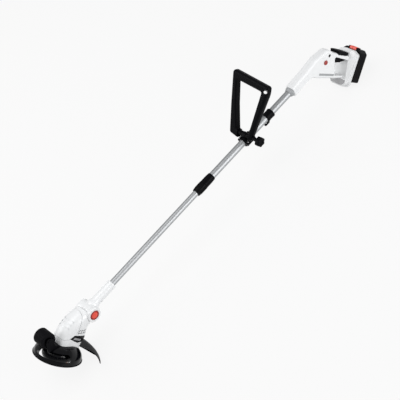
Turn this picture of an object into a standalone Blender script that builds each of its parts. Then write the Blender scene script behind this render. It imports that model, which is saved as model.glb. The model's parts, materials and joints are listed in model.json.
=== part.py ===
"""Cordless string trimmer with a telescopic shaft, a tilting head and a slide-on battery pack.

The trimmer lies as it does on a floor, on the rim of its rear guard and on the battery pack, with
the loop handle up. +X runs from the cutting head to the battery, +Z is up, and the operator's left
is -Y. The origin is under the middle of the object, on the floor. Metres.

Most pieces are drawn in the shaft's own frame: x along the shaft from the head's tilt pivot,
z up from the shaft's axis. The head, the loop handle, the grip and the battery have frames of
their own, hung from that one.
"""

import math

import bmesh
import bpy
from mathutils import Matrix, Vector

# Place of the tilt pivot in the object's frame, and the pitch at which the tool lies.
PIVOT_X = -0.5091
PIVOT_Z = 0.1141
SHAFT_PITCH = math.radians(2.8)

GAP = 0.0003
WALL = 0.0024

# Tubes and what sits on them, as distances along the shaft from the tilt pivot.
LOWER_TUBE_RADIUS = 0.0095
UPPER_TUBE_RADIUS = 0.0110
TUBE_WALL = 0.0012
LOWER_TUBE_SPAN = (0.030, 0.690)
UPPER_TUBE_SPAN = (0.480, 0.946)
SLEEVE_END = 0.103
SLEEVE_RADIUS = 0.0142
LOCK_SPAN = (0.471, 0.543)
LOCK_SPLIT = 0.506
CLAMP_AT = 0.704
CLAMP_LENGTH = 0.036
STRAP_SPAN = (0.791, 0.820)
RING_AT = 0.911

# Tilt joint of the head.
BARREL_RADIUS = 0.0220
BARREL_HALF = 0.0255
CHEEK_RADIUS = 0.0240
CHEEK_HALF = 0.0340
BUTTON_RADIUS = 0.0148
BUTTON_FACE = 0.0362
PIVOT_PIN_RADIUS = 0.0050

# Cutting head: its frame stands on the spool's axis, x to the rear, z up the motor.
SPOOL_AT = (-0.1405, -0.0300)
HEAD_ANGLE = math.radians(41.0)
HOOD_RADIUS = 0.0700
HOOD_BOTTOM = -0.0110
SPOOL_RADIUS = 0.0460
MOTOR_RADIUS = 0.0120
MOTOR_SPAN = (0.0215, 0.0560)
GUARD_AXIS = -0.0600
GUARD_RADIUS = 0.1695
GUARD_HALF_ANGLE = math.radians(45.0)
GUARD_FRONT = 0.0640
GUARD_ROOT_HALF = 0.0260
CUTTER_ANGLE = math.radians(46.0)
CUTTER_REACH = 0.1015
WHEEL_AT = (-0.0634, 0.0508)
WHEEL_RADIUS = 0.0236
WHEEL_HALF = 0.0200

# Loop handle: its frame stands on the clamp bolt and leans back.
BOLT_HEIGHT = 0.0190
LOOP_LEAN = math.radians(37.4)
LOOP_THICKNESS = 0.0220
KNOB_SPAN = (0.0550, 0.0720)
KNOB_RADIUS = 0.0155

# Rear handle and its grip: the grip's frame starts at the front of the pad's top line.
HANDLE_HALF = 0.0165
GRIP_AT = (1.1075, -0.0072)
GRIP_DIP = math.radians(53.8)
GRIP_LENGTH = 0.0760
PAD_HALF = 0.0186
TRIGGER_AT = (0.0740, 0.0, -0.0110)
LOCK_OFF_AT = (1.0600, -0.0110)
LOCK_OFF_RADIUS = 0.0075

# Battery: its frame stands at the foot of the pack's inner face, z up the pack, x out of the tool.
PACK_AT = (1.1160, -0.1280)
PACK_RISE = math.radians(40.0)
PACK_DEPTHS = (0.0050, 0.0110, 0.0450)
PACK_TOP = 0.0900
DOCK_HALF = 0.0370
CELL_RADIUS = 0.0090
CELL_LENGTH = 0.0650
CELL_COUNT = 5

FINISHES = {
    "white_plastic": ((0.80, 0.81, 0.82), 0.42, 0.0),
    "grey_plastic": ((0.55, 0.56, 0.58), 0.50, 0.0),
    "black_plastic": ((0.022, 0.022, 0.024), 0.45, 0.0),
    "soft_black": ((0.018, 0.018, 0.019), 0.75, 0.0),
    "red_plastic": ((0.72, 0.08, 0.05), 0.38, 0.0),
    "satin_aluminium": ((0.62, 0.63, 0.65), 0.32, 1.0),
    "steel": ((0.50, 0.50, 0.52), 0.30, 1.0),
    "spring_steel": ((0.38, 0.38, 0.40), 0.35, 1.0),
    "nylon_line": ((0.75, 0.30, 0.08), 0.45, 0.0),
    "cell_wrap": ((0.10, 0.30, 0.45), 0.40, 0.0),
}


def clear_scene():
    for item in list(bpy.data.objects):
        bpy.data.objects.remove(item, do_unlink=True)


def make_collection(name):
    group = bpy.data.collections.new(name)
    bpy.context.scene.collection.children.link(group)
    return group


def make_material(name):
    colour, roughness, metallic = FINISHES[name]
    finish = bpy.data.materials.new(name)
    finish.use_nodes = True
    shader = finish.node_tree.nodes["Principled BSDF"]
    shader.inputs["Base Color"].default_value = (*colour, 1.0)
    shader.inputs["Roughness"].default_value = roughness
    shader.inputs["Metallic"].default_value = metallic
    return finish


clear_scene()
PARTS = make_collection("string_trimmer")
CUTTERS = make_collection("cutters")


def make_empty(name, parent, at=(0.0, 0.0, 0.0), turn=(0.0, 0.0, 0.0)):
    """An empty that other pieces hang from."""
    empty = bpy.data.objects.new(name, None)
    empty.empty_display_size = 0.02
    PARTS.objects.link(empty)
    empty.parent = parent
    empty.location = at
    empty.rotation_euler = turn
    return empty


def put(name, mesh, frame, finish=None, at=(0.0, 0.0, 0.0), turn=(0.0, 0.0, 0.0)):
    """Place a mesh as a part in its own material, or as a cutter where it has no finish."""
    item = bpy.data.objects.new(name, mesh)
    item.parent = frame
    item.location = at
    item.rotation_euler = turn
    if finish is None:
        CUTTERS.objects.link(item)
        item.hide_render = True
        item.display_type = "WIRE"
        return item
    PARTS.objects.link(item)
    material = make_material(finish)
    material.name = name
    mesh.materials.append(material)
    return item


def mesh_of(bm, name):
    mesh = bpy.data.meshes.new(name)
    bm.to_mesh(mesh)
    bm.free()
    return mesh


def box_mesh(name, low, high):
    """A block between two corners."""
    bm = bmesh.new()
    bmesh.ops.create_cube(bm, size=1.0)
    size = [b - a for a, b in zip(low, high)]
    middle = [(a + b) / 2 for a, b in zip(low, high)]
    bmesh.ops.scale(bm, vec=size, verts=bm.verts)
    bmesh.ops.translate(bm, vec=middle, verts=bm.verts)
    return mesh_of(bm, name)


def rod_mesh(name, radius, start, end, segments=18):
    """A solid cylinder along z between two heights."""
    bm = bmesh.new()
    bmesh.ops.create_cone(bm, cap_ends=True, segments=segments, radius1=radius, radius2=radius,
                          depth=end - start)
    bmesh.ops.translate(bm, vec=(0, 0, (start + end) / 2), verts=bm.verts)
    return mesh_of(bm, name)


def turned(name, frame, finish, profile, closed=True, segments=26, at=(0, 0, 0), turn=(0, 0, 0)):
    """A turned piece: (radius, height) pairs, top to bottom on the outer side."""
    mesh = bpy.data.meshes.new(name)
    edges = [(i, i + 1) for i in range(len(profile) - 1)]
    if closed:
        edges.append((len(profile) - 1, 0))
    mesh.from_pydata([(r, 0.0, z) for r, z in profile], edges, [])
    item = put(name, mesh, frame, finish, at, turn)
    screw = item.modifiers.new("turn", "SCREW")
    screw.axis = "Z"
    screw.steps = segments
    screw.render_steps = segments
    screw.use_merge_vertices = True
    screw.merge_threshold = 0.00001
    screw.use_smooth_shade = True
    return item


def ring_profile(inner, outer, low, high, chamfer=0.0):
    """Closed section of a plain ring, with chamfered outer corners."""
    if chamfer == 0.0:
        return [(outer, high), (outer, low), (inner, low), (inner, high)]
    return [(outer - chamfer, high), (outer, high - chamfer), (outer, low + chamfer),
            (outer - chamfer, low), (inner, low), (inner, high)]


def offset_corners(corners, distance):
    """Move each side of a counter-clockwise outline inwards; a corner's radius follows its side."""
    moved = []
    count = len(corners)
    for i, (x, y, radius) in enumerate(corners):
        here = Vector((x, y))
        first = (here - Vector(corners[i - 1][:2])).normalized()
        second = (Vector(corners[(i + 1) % count][:2]) - here).normalized()
        bisector = Vector((-first.y - second.y, first.x + second.x))
        point = here + bisector * (distance * 2.0 / bisector.length_squared)
        bulges = first.cross(second) > 0.0
        if radius > 0.0:
            radius = max(radius - distance if bulges else radius + distance, 0.0002)
        moved.append((point.x, point.y, radius))
    return moved


def rounded(corners, steps=3):
    """Points of an outline of (x, y, radius) corners, with an arc at each corner that has a radius."""
    points = []
    count = len(corners)
    for i, (x, y, radius) in enumerate(corners):
        here = Vector((x, y))
        if radius <= 0.0:
            points.append(here)
            continue
        to_before = (Vector(corners[i - 1][:2]) - here).normalized()
        to_after = (Vector(corners[(i + 1) % count][:2]) - here).normalized()
        half = to_before.angle(to_after) / 2
        middle = (to_before + to_after).normalized()
        centre = here + middle * (radius / math.sin(half))
        start = here + to_before * (radius / math.tan(half)) - centre
        sweep = start.angle_signed(here + to_after * (radius / math.tan(half)) - centre)
        for k in range(steps + 1):
            turn = -sweep * k / steps
            points.append(centre + Matrix.Rotation(turn, 2) @ start)
    return points


def skin_mesh(name, rings):
    """A closed skin through rings that have the same number of points each."""
    bm = bmesh.new()
    loops = [[bm.verts.new(point) for point in ring] for ring in rings]
    count = len(loops[0])
    for near, far in zip(loops, loops[1:]):
        for k in range(count):
            bm.faces.new((near[k], near[(k + 1) % count], far[(k + 1) % count], far[k]))
    bm.faces.new(loops[0])
    bm.faces.new(loops[-1])
    bmesh.ops.recalc_face_normals(bm, faces=bm.faces)
    return mesh_of(bm, name)


def plate_mesh(name, corners, half, edge=0.0, steps=2):
    """A flat outline in x and z, half its thickness to each side of y = 0, with its edges rounded over."""
    levels = [(0.0, half)]
    if edge > 0.0:
        turns = [math.pi / 2 * k / steps for k in range(steps + 1)]
        levels = [(edge * (1 - math.sin(t)), half - edge * (1 - math.cos(t))) for t in turns]
    levels += [(inset, -y) for inset, y in reversed(levels)]
    rings = []
    for inset, y in levels:
        rings.append([(p.x, y, p.y) for p in rounded(offset_corners(corners, inset))])
    return skin_mesh(name, rings)


def curve_to_mesh(name, curve):
    """The welded mesh of a curve."""
    holder = bpy.data.objects.new(name, curve)
    bpy.context.scene.collection.objects.link(holder)
    depsgraph = bpy.context.evaluated_depsgraph_get()
    mesh = bpy.data.meshes.new_from_object(holder.evaluated_get(depsgraph))
    bpy.data.objects.remove(holder)
    bpy.data.curves.remove(curve)
    bm = bmesh.new()
    bm.from_mesh(mesh)
    bmesh.ops.remove_doubles(bm, verts=bm.verts, dist=0.00001)
    bmesh.ops.recalc_face_normals(bm, faces=bm.faces)
    bm.to_mesh(mesh)
    bm.free()
    mesh.name = name
    return mesh


def wire_mesh(name, points, radius, sides=0, cyclic=False):
    """A round wire or tube along points."""
    curve = bpy.data.curves.new(name, "CURVE")
    curve.dimensions = "3D"
    curve.bevel_depth = radius
    curve.bevel_resolution = sides
    curve.use_fill_caps = not cyclic
    spline = curve.splines.new("POLY")
    spline.points.add(len(points) - 1)
    for target, point in zip(spline.points, points):
        target.co = (*point, 1.0)
    spline.use_cyclic_u = cyclic
    return curve_to_mesh(name, curve)


def coil_points(radius, start, end, turns, per_turn=8):
    """Points of a coil round z."""
    count = int(turns * per_turn)
    points = []
    for i in range(count + 1):
        angle = 2 * math.pi * i / per_turn
        points.append((radius * math.cos(angle), radius * math.sin(angle), start + (end - start) * i / count))
    return points


def cut(item, cutter, operation="DIFFERENCE"):
    step = item.modifiers.new(cutter.name, "BOOLEAN")
    step.operation = operation
    step.object = cutter
    return step


def cut_box(item, frame, low, high, name):
    return cut(item, put(name, box_mesh(name, low, high), frame))


def cut_rod(item, frame, radius, start, end, name, at=(0, 0, 0), turn=(0, 0, 0), segments=18):
    return cut(item, put(name, rod_mesh(name, radius, start, end, segments), frame, None, at, turn))


def round_edges(item, width, segments=2, angle=40.0):
    step = item.modifiers.new("rounding", "BEVEL")
    step.width = width
    step.segments = segments
    step.limit_method = "ANGLE"
    step.angle_limit = math.radians(angle)
    return step


def shade(item, angle=35.0):
    item.data.shade_smooth()
    item.data.set_sharp_from_angle(angle=math.radians(angle))


LATERAL = (math.pi / 2, 0.0, 0.0)
ALONG = (0.0, math.pi / 2, 0.0)


def build_frames():
    """The empties that the pieces hang from; each moving one stands on its joint's axis."""
    tool = make_empty("tool_frame", None, (PIVOT_X, 0, PIVOT_Z), (0, -SHAFT_PITCH, 0))
    frames = {"tool": tool}
    frames["lower"] = make_empty("tube_slide", tool)
    frames["pivot"] = make_empty("head_tilt", frames["lower"])
    frames["head"] = make_empty("head_frame", frames["pivot"], (SPOOL_AT[0], 0, SPOOL_AT[1]),
                                (0, math.pi / 2 - HEAD_ANGLE, 0))
    frames["spool"] = make_empty("spool_spin", frames["head"])
    frames["bump"] = make_empty("bump_slide", frames["spool"])
    frames["button"] = make_empty("tilt_button_slide", frames["pivot"])
    frames["wheel"] = make_empty("edge_wheel_spin", frames["head"], (WHEEL_AT[0], 0, WHEEL_AT[1]))
    frames["lock"] = make_empty("lock_twist", tool, (LOCK_SPAN[0], 0, 0))
    frames["clamp"] = make_empty("clamp_slide", tool, (CLAMP_AT, 0, 0))
    frames["loop"] = make_empty("loop_tilt", frames["clamp"], (0, 0, BOLT_HEIGHT), (0, LOOP_LEAN, 0))
    frames["knob"] = make_empty("knob_turn", frames["clamp"], (0, 0, BOLT_HEIGHT))
    frames["grip"] = make_empty("grip_frame", tool, (GRIP_AT[0], 0, GRIP_AT[1]), (0, GRIP_DIP, 0))
    frames["trigger"] = make_empty("trigger_hinge", frames["grip"], TRIGGER_AT)
    frames["lock_off"] = make_empty("lock_off_slide", tool, (LOCK_OFF_AT[0], 0, LOCK_OFF_AT[1]))
    frames["dock"] = make_empty("dock_frame", tool, (PACK_AT[0], 0, PACK_AT[1]),
                                (0, math.pi / 2 - PACK_RISE, 0))
    frames["pack"] = make_empty("pack_slide", frames["dock"])
    frames["release"] = make_empty("release_slide", frames["pack"])
    return frames


def build_tubes(frames):
    """Both aluminium tubes, the sliding bush and the lead inside the lower tube."""
    tool = frames["tool"]
    lower = frames["lower"]
    turned("upper_tube", tool, "satin_aluminium",
           ring_profile(UPPER_TUBE_RADIUS - TUBE_WALL, UPPER_TUBE_RADIUS, *UPPER_TUBE_SPAN), turn=ALONG)
    turned("lower_tube", lower, "satin_aluminium",
           ring_profile(LOWER_TUBE_RADIUS - TUBE_WALL, LOWER_TUBE_RADIUS, *LOWER_TUBE_SPAN), turn=ALONG)
    bush = [(0.0093, LOWER_TUBE_SPAN[1] + 0.004), (0.0093, LOWER_TUBE_SPAN[1] + GAP),
            (0.0080, LOWER_TUBE_SPAN[1] + GAP), (0.0080, LOWER_TUBE_SPAN[1] - 0.016),
            (0.0060, LOWER_TUBE_SPAN[1] - 0.016), (0.0060, LOWER_TUBE_SPAN[1] + 0.004)]
    turned("slide_bush", lower, "black_plastic", bush, turn=ALONG, segments=24)
    lead = rod_mesh("motor_lead", 0.0028, 0.0300, 0.4600, 10)
    put("motor_lead", lead, lower, "soft_black", turn=ALONG)


def build_lock(frames):
    """Twist lock between the tubes: fixed sleeve, wedge ring and the nut that turns."""
    tool = frames["tool"]
    start, end = LOCK_SPAN
    bore = UPPER_TUBE_RADIUS + GAP
    sleeve = [(0.0122, end), (0.0136, end - 0.010), (0.0140, LOCK_SPLIT + GAP), (bore, LOCK_SPLIT + GAP),
              (bore, end)]
    turned("lock_sleeve", tool, "black_plastic", sleeve, turn=ALONG, segments=30)
    wedge = [(0.0116, 0.4795), (0.0108, 0.4745), (LOWER_TUBE_RADIUS + GAP, 0.4745),
             (LOWER_TUBE_RADIUS + GAP, 0.4795)]
    turned("wedge_ring", tool, "grey_plastic", wedge, turn=ALONG, segments=24)
    length = LOCK_SPLIT - start
    nut = [(0.0145, length), (0.0145, 0.012), (0.0126, 0.0), (LOWER_TUBE_RADIUS + GAP, 0.0),
           (LOWER_TUBE_RADIUS + GAP, 0.0030), (0.0119, 0.0030), (0.0119, length)]
    body = turned("lock_nut", frames["lock"], "black_plastic", nut, turn=ALONG, segments=30)
    for i in range(10):
        angle = 2 * math.pi * i / 10
        name = f"nut_groove_{i}"
        place = (0.020, 0.0153 * math.sin(angle), 0.0153 * math.cos(angle))
        cut_rod(body, frames["lock"], 0.0016, -0.012, 0.010, name, at=place, turn=ALONG, segments=6)


def build_tilt_joint(frames):
    """Sleeve and barrel on the lower tube, and the pin, button and spring of the tilt lock."""
    lower = frames["lower"]
    pivot = frames["pivot"]
    barrel = put("pivot_sleeve", rod_mesh("pivot_sleeve", BARREL_RADIUS, -BARREL_HALF, BARREL_HALF, 32),
                 lower, "white_plastic", turn=LATERAL)
    neck = [(0.0, SLEEVE_END), (SLEEVE_RADIUS - 0.0010, SLEEVE_END), (SLEEVE_RADIUS, SLEEVE_END - 0.001),
            (SLEEVE_RADIUS, 0.034), (0.0185, 0.020), (0.0185, 0.004), (0.0, 0.004)]
    cut(barrel, turned("sleeve_body", lower, None, neck, closed=False, turn=ALONG), "UNION")
    cut_rod(barrel, lower, LOWER_TUBE_RADIUS + GAP, LOWER_TUBE_SPAN[0] - GAP, SLEEVE_END + 0.01, "tube_socket",
            turn=ALONG, segments=26)
    cut_rod(barrel, lower, PIVOT_PIN_RADIUS + GAP, -0.03, 0.03, "pin_bore", turn=LATERAL)
    cut_rod(barrel, lower, 0.0095, 0.0150, 0.03, "spring_pocket", turn=LATERAL)
    turned("pivot_pin", pivot, "steel", [(0.0, 0.0240), (PIVOT_PIN_RADIUS, 0.0240),
                                         (PIVOT_PIN_RADIUS, -0.0310), (0.0, -0.0310)],
           closed=False, turn=LATERAL, segments=20)
    button = [(0.0, BUTTON_FACE), (0.0100, BUTTON_FACE - 0.0002), (BUTTON_RADIUS - 0.0015, BUTTON_FACE - 0.0010),
              (BUTTON_RADIUS, BUTTON_FACE - 0.0025), (BUTTON_RADIUS, 0.0295), (0.0090, 0.0295),
              (0.0090, 0.0240), (0.0073, 0.0240), (0.0073, 0.0320), (0.0, 0.0320)]
    turned("tilt_button", frames["button"], "red_plastic", button, closed=False, turn=LATERAL)
    spring = wire_mesh("button_spring", coil_points(0.0063, 0.0160, 0.0232, 3), 0.0005)
    put("button_spring", spring, pivot, "spring_steel", turn=LATERAL)


def section_points(centre, tilt, half_long, half_wide, power, count=24):
    """A rounded section of the motor housing, square to a line that leans back by the tilt."""
    points = []
    for i in range(count):
        angle = 2 * math.pi * i / count
        c = math.copysign(abs(math.cos(angle)) ** (2 / power), math.cos(angle))
        s = math.copysign(abs(math.sin(angle)) ** (2 / power), math.sin(angle))
        along = half_long * c
        points.append((centre[0] + along * math.cos(tilt), half_wide * s, centre[1] - along * math.sin(tilt)))
    return points


# Sections of the motor housing in the head's frame: centre x and z, tilt, half length, half width, power.
HOUSING_SECTIONS = [
    ((0.0170, 0.0040), 0.0, 0.0345, 0.0285, 4.2),
    ((0.0185, 0.0380), 0.0, 0.0370, 0.0292, 3.4),
    ((0.0225, 0.0540), 5.0, 0.0385, 0.0305, 2.9),
    ((0.0270, 0.0690), 14.0, 0.0380, 0.0315, 2.5),
    ((0.0350, 0.0850), 24.0, 0.0350, 0.0320, 2.4),
    ((0.0450, 0.1000), 33.0, 0.0310, 0.0315, 2.3),
    ((0.0555, 0.1120), 38.0, 0.0275, 0.0310, 2.2),
    ((0.0640, 0.1205), 41.0, 0.0255, 0.0305, 2.2),
]


def housing_mesh(name, shrink):
    """The loft through the housing's sections, drawn in by shrink but for its open underside."""
    rings = []
    last = len(HOUSING_SECTIONS) - 1
    for i, (centre, tilt, half_long, half_wide, power) in enumerate(HOUSING_SECTIONS):
        lift = -shrink if i in (0, last) else 0.0
        lean = math.radians(tilt)
        middle = (centre[0] + lift * math.sin(lean), centre[1] + lift * math.cos(lean))
        rings.append(section_points(middle, lean, half_long - shrink, half_wide - shrink, power))
    return skin_mesh(name, rings)


# Outline of the motor cover's side in the head's frame, counter-clockwise.
COVER_OUTLINE = [
    (-0.0700, 0.0480, 0.0), (-0.0040, 0.0497, 0.020), (0.0229, 0.0634, 0.015), (0.0290, 0.0910, 0.060),
    (0.0345, 0.1180, 0.0), (0.0345, 0.1600, 0.0), (-0.0700, 0.1600, 0.0),
]


def hood_room(name, head):
    """The space that the hood and the spool under it take up, with a gap."""
    profile = [(0.0, 0.0325), (0.0156, 0.0325)]
    profile += [(r + GAP, z + GAP) for r, z in dome_profile()[1:8]]
    profile += [(0.0740, -0.0080), (0.0740, -0.0400), (0.0, -0.0400)]
    return turned(name, head, None, profile, closed=False, segments=36)


def build_motor_housing(frames):
    """The housing's lower shell with the tilt cheeks, and the cover over its front."""
    head = frames["head"]
    pivot = frames["pivot"]
    for name, above in (("motor_housing", False), ("motor_cover", True)):
        shell = put(name, housing_mesh(name, 0.0), head, "white_plastic")
        cheeks = put(f"{name}_cheeks", rod_mesh("cheeks", CHEEK_RADIUS, -CHEEK_HALF, CHEEK_HALF, 32), pivot,
                     None, turn=LATERAL)
        round_edges(cheeks, 0.0025, 1)
        cut_box(cheeks, pivot, (-0.05, 0.0, 0.0100), (0.05, 0.05, 0.05), f"{name}_far_cheek_top")
        if not above:
            cut(shell, cheeks, "UNION")
        cut(shell, put(f"{name}_hollow", housing_mesh("hollow", WALL), head))
        cut_rod(shell, pivot, BARREL_RADIUS + 0.0006, -BARREL_HALF - GAP, BARREL_HALF + GAP, f"{name}_barrel_room",
                turn=LATERAL, segments=32)
        cut_box(shell, pivot, (-0.0045, -BARREL_HALF - GAP, -0.03), (0.03, BARREL_HALF + GAP, 0.03),
                f"{name}_neck_room")
        side = plate_mesh("side", offset_corners(COVER_OUTLINE, GAP if above else 0.0), 0.1)
        cut(shell, put(f"{name}_side", side, head), "INTERSECT" if above else "DIFFERENCE")
        if above:
            cut_rod(shell, pivot, CHEEK_RADIUS + GAP, -CHEEK_HALF, CHEEK_HALF, "cover_cheek_room", turn=LATERAL,
                    segments=32)
        else:
            cut_rod(shell, pivot, BUTTON_RADIUS + GAP, 0.020, 0.05, "button_hole", turn=LATERAL, segments=26)
            cut_rod(shell, pivot, PIVOT_PIN_RADIUS + GAP, -0.0315, 0.0, "pin_socket", turn=LATERAL)
        cut(shell, hood_room(f"{name}_hood_room", head))


def build_motor(frames):
    """Motor can, and the shaft and cooling fan that turn with the spool."""
    head = frames["head"]
    spool = frames["spool"]
    low, high = MOTOR_SPAN
    can = [(0.0060, high + 0.0015), (0.0065, high), (MOTOR_RADIUS - 0.001, high), (MOTOR_RADIUS, high - 0.001),
           (MOTOR_RADIUS, low + 0.001), (MOTOR_RADIUS - 0.001, low), (0.0024, low), (0.0024, high + 0.0015)]
    turned("motor_can", head, "steel", can)
    turned("motor_shaft", spool, "steel", [(0.0, 0.0630), (0.0020, 0.0630), (0.0020, 0.0040), (0.0, 0.0040)],
           closed=False, segments=12)
    fan = put("cooling_fan", rod_mesh("cooling_fan", 0.0040, 0.0580, 0.0625, 16), spool, "black_plastic")
    for i in range(6):
        blade = box_mesh("blade", (0.0030, -0.0006, 0.0582), (0.0078, 0.0006, 0.0623))
        name = f"fan_blade_{i}"
        cut(fan, put(name, blade, spool, None, turn=(0, 0, 2 * math.pi * i / 6 + 0.1)), "UNION")
    cut_rod(fan, spool, 0.0023, 0.05, 0.08, "fan_bore", segments=12)


def dome_profile():
    """Outer points of the spool hood, from its hole down to its rim."""
    return [(0.0156, 0.0320), (0.0300, 0.0310), (0.0410, 0.0279), (0.0510, 0.0230), (0.0600, 0.0153),
            (0.0665, 0.0070), (0.0692, -0.0010), (HOOD_RADIUS, -0.0085), (HOOD_RADIUS + 0.0022, -0.0088),
            (HOOD_RADIUS + 0.0022, HOOD_BOTTOM)]


def dome_inner():
    """Inner points of the spool hood, from its rim up to its hole."""
    return [(HOOD_RADIUS - 0.0022, HOOD_BOTTOM), (0.0669, -0.0010), (0.0640, 0.0064), (0.0580, 0.0138),
            (0.0495, 0.0209), (0.0400, 0.0255), (0.0298, 0.0285), (0.0156, 0.0295)]


def build_hood(frames):
    """Black hood round the spool, with the window in its front."""
    head = frames["head"]
    hood = turned("spool_hood", head, "black_plastic", dome_profile() + dome_inner(), segments=36)
    window = put("hood_window", box_mesh("hood_window", (-0.095, -0.0900, 0.0010), (-0.006, 0.0120, 0.0200)), head)
    round_edges(window, 0.0060, 2)
    cut(hood, window)


# Plan of what is cut away ahead of the guard's wings, and the flange under their front edges.
GUARD_FRONT_OUTLINE = [
    (-0.1500, GUARD_ROOT_HALF), (0.0460, GUARD_ROOT_HALF), (0.0500, 0.0400), (0.0610, 0.0640),
    (GUARD_FRONT, 0.0900), (GUARD_FRONT, 0.1500), (-0.1500, 0.1500),
]
GUARD_FLANGE = [(0.0250, 0.0185), (0.0500, 0.0210), (0.0800, 0.0245), (0.0780, 0.0268), (0.0250, 0.0275)]


def guard_profile():
    """Outer points of the rear guard about its own axis, from the housing out to its rim."""
    return [(0.1050, 0.0300), (0.1395, 0.0296), (0.1495, 0.0282), (0.1560, 0.0256), (0.1605, 0.0222),
            (0.1640, 0.0182), (0.1672, 0.0122), (0.1690, 0.0060), (GUARD_RADIUS, 0.0000)]


def build_guard(frames):
    """Domed debris guard behind the spool, its line cutter and the cutter's screw."""
    head = frames["head"]
    mesh = bpy.data.meshes.new("debris_guard")
    outer = guard_profile()
    mesh.from_pydata([(r, 0.0, z) for r, z in outer], [(i, i + 1) for i in range(len(outer) - 1)], [])
    mesh.transform(Matrix.Rotation(-GUARD_HALF_ANGLE, 4, "Z"))
    guard = put("debris_guard", mesh, head, "black_plastic", at=(GUARD_AXIS, 0, 0))
    sweep = guard.modifiers.new("turn", "SCREW")
    sweep.axis = "Z"
    sweep.angle = 2 * GUARD_HALF_ANGLE
    sweep.steps = 24
    sweep.render_steps = 24
    sweep.use_merge_vertices = True
    sweep.merge_threshold = 0.00001
    skin = guard.modifiers.new("wall", "SOLIDIFY")
    skin.thickness = 0.0025
    skin.offset = -1.0
    cut(guard, put("guard_housing_room", housing_mesh("room", -0.0004), head))
    for side in (-1, 1):
        corners = [(x, side * y, 0.0) for x, y in GUARD_FRONT_OUTLINE][::side]
        front = plate_mesh("guard_front", corners, 0.1)
        cut(guard, put(f"guard_front_{side}", front, head, turn=(-math.pi / 2, 0, 0)))
    # The rim rises towards the tips, and has a short flat where it stands on the floor.
    rim = box_mesh("guard_rim", (-0.15, -0.15, -0.05), (0.03, 0.15, 0.0))
    cut(guard, put("guard_rim", rim, head, None, (GUARD_AXIS + GUARD_RADIUS, 0, 0.0010), (0, math.radians(15.0), 0)))
    cut_box(guard, None, (-1.0, -0.3, -0.1), (1.0, 0.3, 0.0), "floor")
    for side in (-1, 1):
        corners = [(side * y, z, 0.0) for y, z in GUARD_FLANGE][::side]
        flange = end_mesh("guard_flange", corners, GUARD_FRONT, GUARD_FRONT + 0.0026, 0.0)
        cut(guard, put(f"guard_flange_{side}", flange, head), "UNION")
    place = (CUTTER_REACH * math.cos(CUTTER_ANGLE), CUTTER_REACH * math.sin(CUTTER_ANGLE), 0)
    boss = put("cutter_boss", rod_mesh("cutter_boss", 0.0050, 0.0140, 0.0262), head, None, at=place)
    cut(guard, boss, "UNION")
    cut_rod(guard, head, 0.0020, 0.0100, 0.0205, "cutter_screw_hole", at=place, segments=12)
    blade = box_mesh("line_cutter", (CUTTER_REACH - 0.0090, -0.0100, 0.0125), (CUTTER_REACH + 0.0090, 0.0100, 0.0137))
    cutter = put("line_cutter", blade, head, "steel", turn=(0, 0, CUTTER_ANGLE))
    cut_rod(cutter, head, 0.0020, 0.0, 0.03, "cutter_hole", at=place, segments=12)
    screw = [(0.0, 0.0200), (0.0017, 0.0200), (0.0017, 0.0122), (0.0036, 0.0122), (0.0036, 0.0106), (0.0, 0.0106)]
    turned("cutter_screw", head, "steel", screw, closed=False, at=place, segments=12)


def build_spool(frames):
    """Carrier, spool shells, wound line, and the bump knob with its spring."""
    spool = frames["spool"]
    bump = frames["bump"]
    turned("spool_carrier", spool, "grey_plastic",
           [(0.0115, 0.0180), (0.0115, 0.0165), (0.0060, 0.0150), (0.0060, 0.0050), (0.0023, 0.0050),
            (0.0023, 0.0180)], segments=24)
    upper = [(0.0320, 0.0172), (0.0410, 0.0130), (SPOOL_RADIUS, 0.0050), (SPOOL_RADIUS, -0.0030),
             (0.0438, -0.0030), (0.0438, 0.0036), (0.0396, 0.0110), (0.0312, 0.0151), (0.0118, 0.0158),
             (0.0118, 0.0182)]
    turned("spool_housing", spool, "black_plastic", upper, segments=28)
    lower = [(SPOOL_RADIUS, -0.0033), (0.0452, -0.0100), (0.0410, -0.0165), (0.0232, -0.0200),
             (0.0232, -0.0178), (0.0395, -0.0145), (0.0430, -0.0093), (0.0438, -0.0033)]
    cap = turned("spool_cap", spool, "black_plastic", lower, segments=28)
    for side in (-1, 1):
        cut_rod(cap, spool, 0.0020, 0.0300, 0.0500, f"line_exit_{side}", at=(0, 0, -0.0105),
                turn=(side * math.pi / 2, 0, 0), segments=8)
    core = [(0.0365, 0.0115), (0.0365, 0.0100), (0.0160, 0.0100), (0.0160, -0.0120), (0.0385, -0.0120),
            (0.0385, -0.0132), (0.0120, -0.0132), (0.0120, 0.0115)]
    turned("line_spool", spool, "grey_plastic", core)
    line = turned("trimmer_line", spool, "nylon_line", ring_profile(0.0165, 0.0350, -0.0115, 0.0095, 0.002))
    for side in (-1, 1):
        tail = rod_mesh("line_tail", 0.0012, 0.0300, 0.0500, 6)
        cut(line, put(f"line_tail_{side}", tail, spool, None, at=(0, 0, -0.0105),
                      turn=(side * math.pi / 2, 0, 0)), "UNION")
    knob = [(0.0, -0.0255), (0.0140, -0.0255), (0.0195, -0.0230), (0.0226, -0.0180), (0.0226, -0.0165),
            (0.0100, -0.0165), (0.0100, 0.0030), (0.0088, 0.0030), (0.0088, -0.0145), (0.0, -0.0145)]
    turned("bump_knob", bump, "black_plastic", knob[::-1], closed=False)
    spring = wire_mesh("spool_spring", coil_points(0.0072, -0.0100, 0.0040, 4), 0.0007)
    put("spool_spring", spring, spool, "spring_steel")


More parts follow.
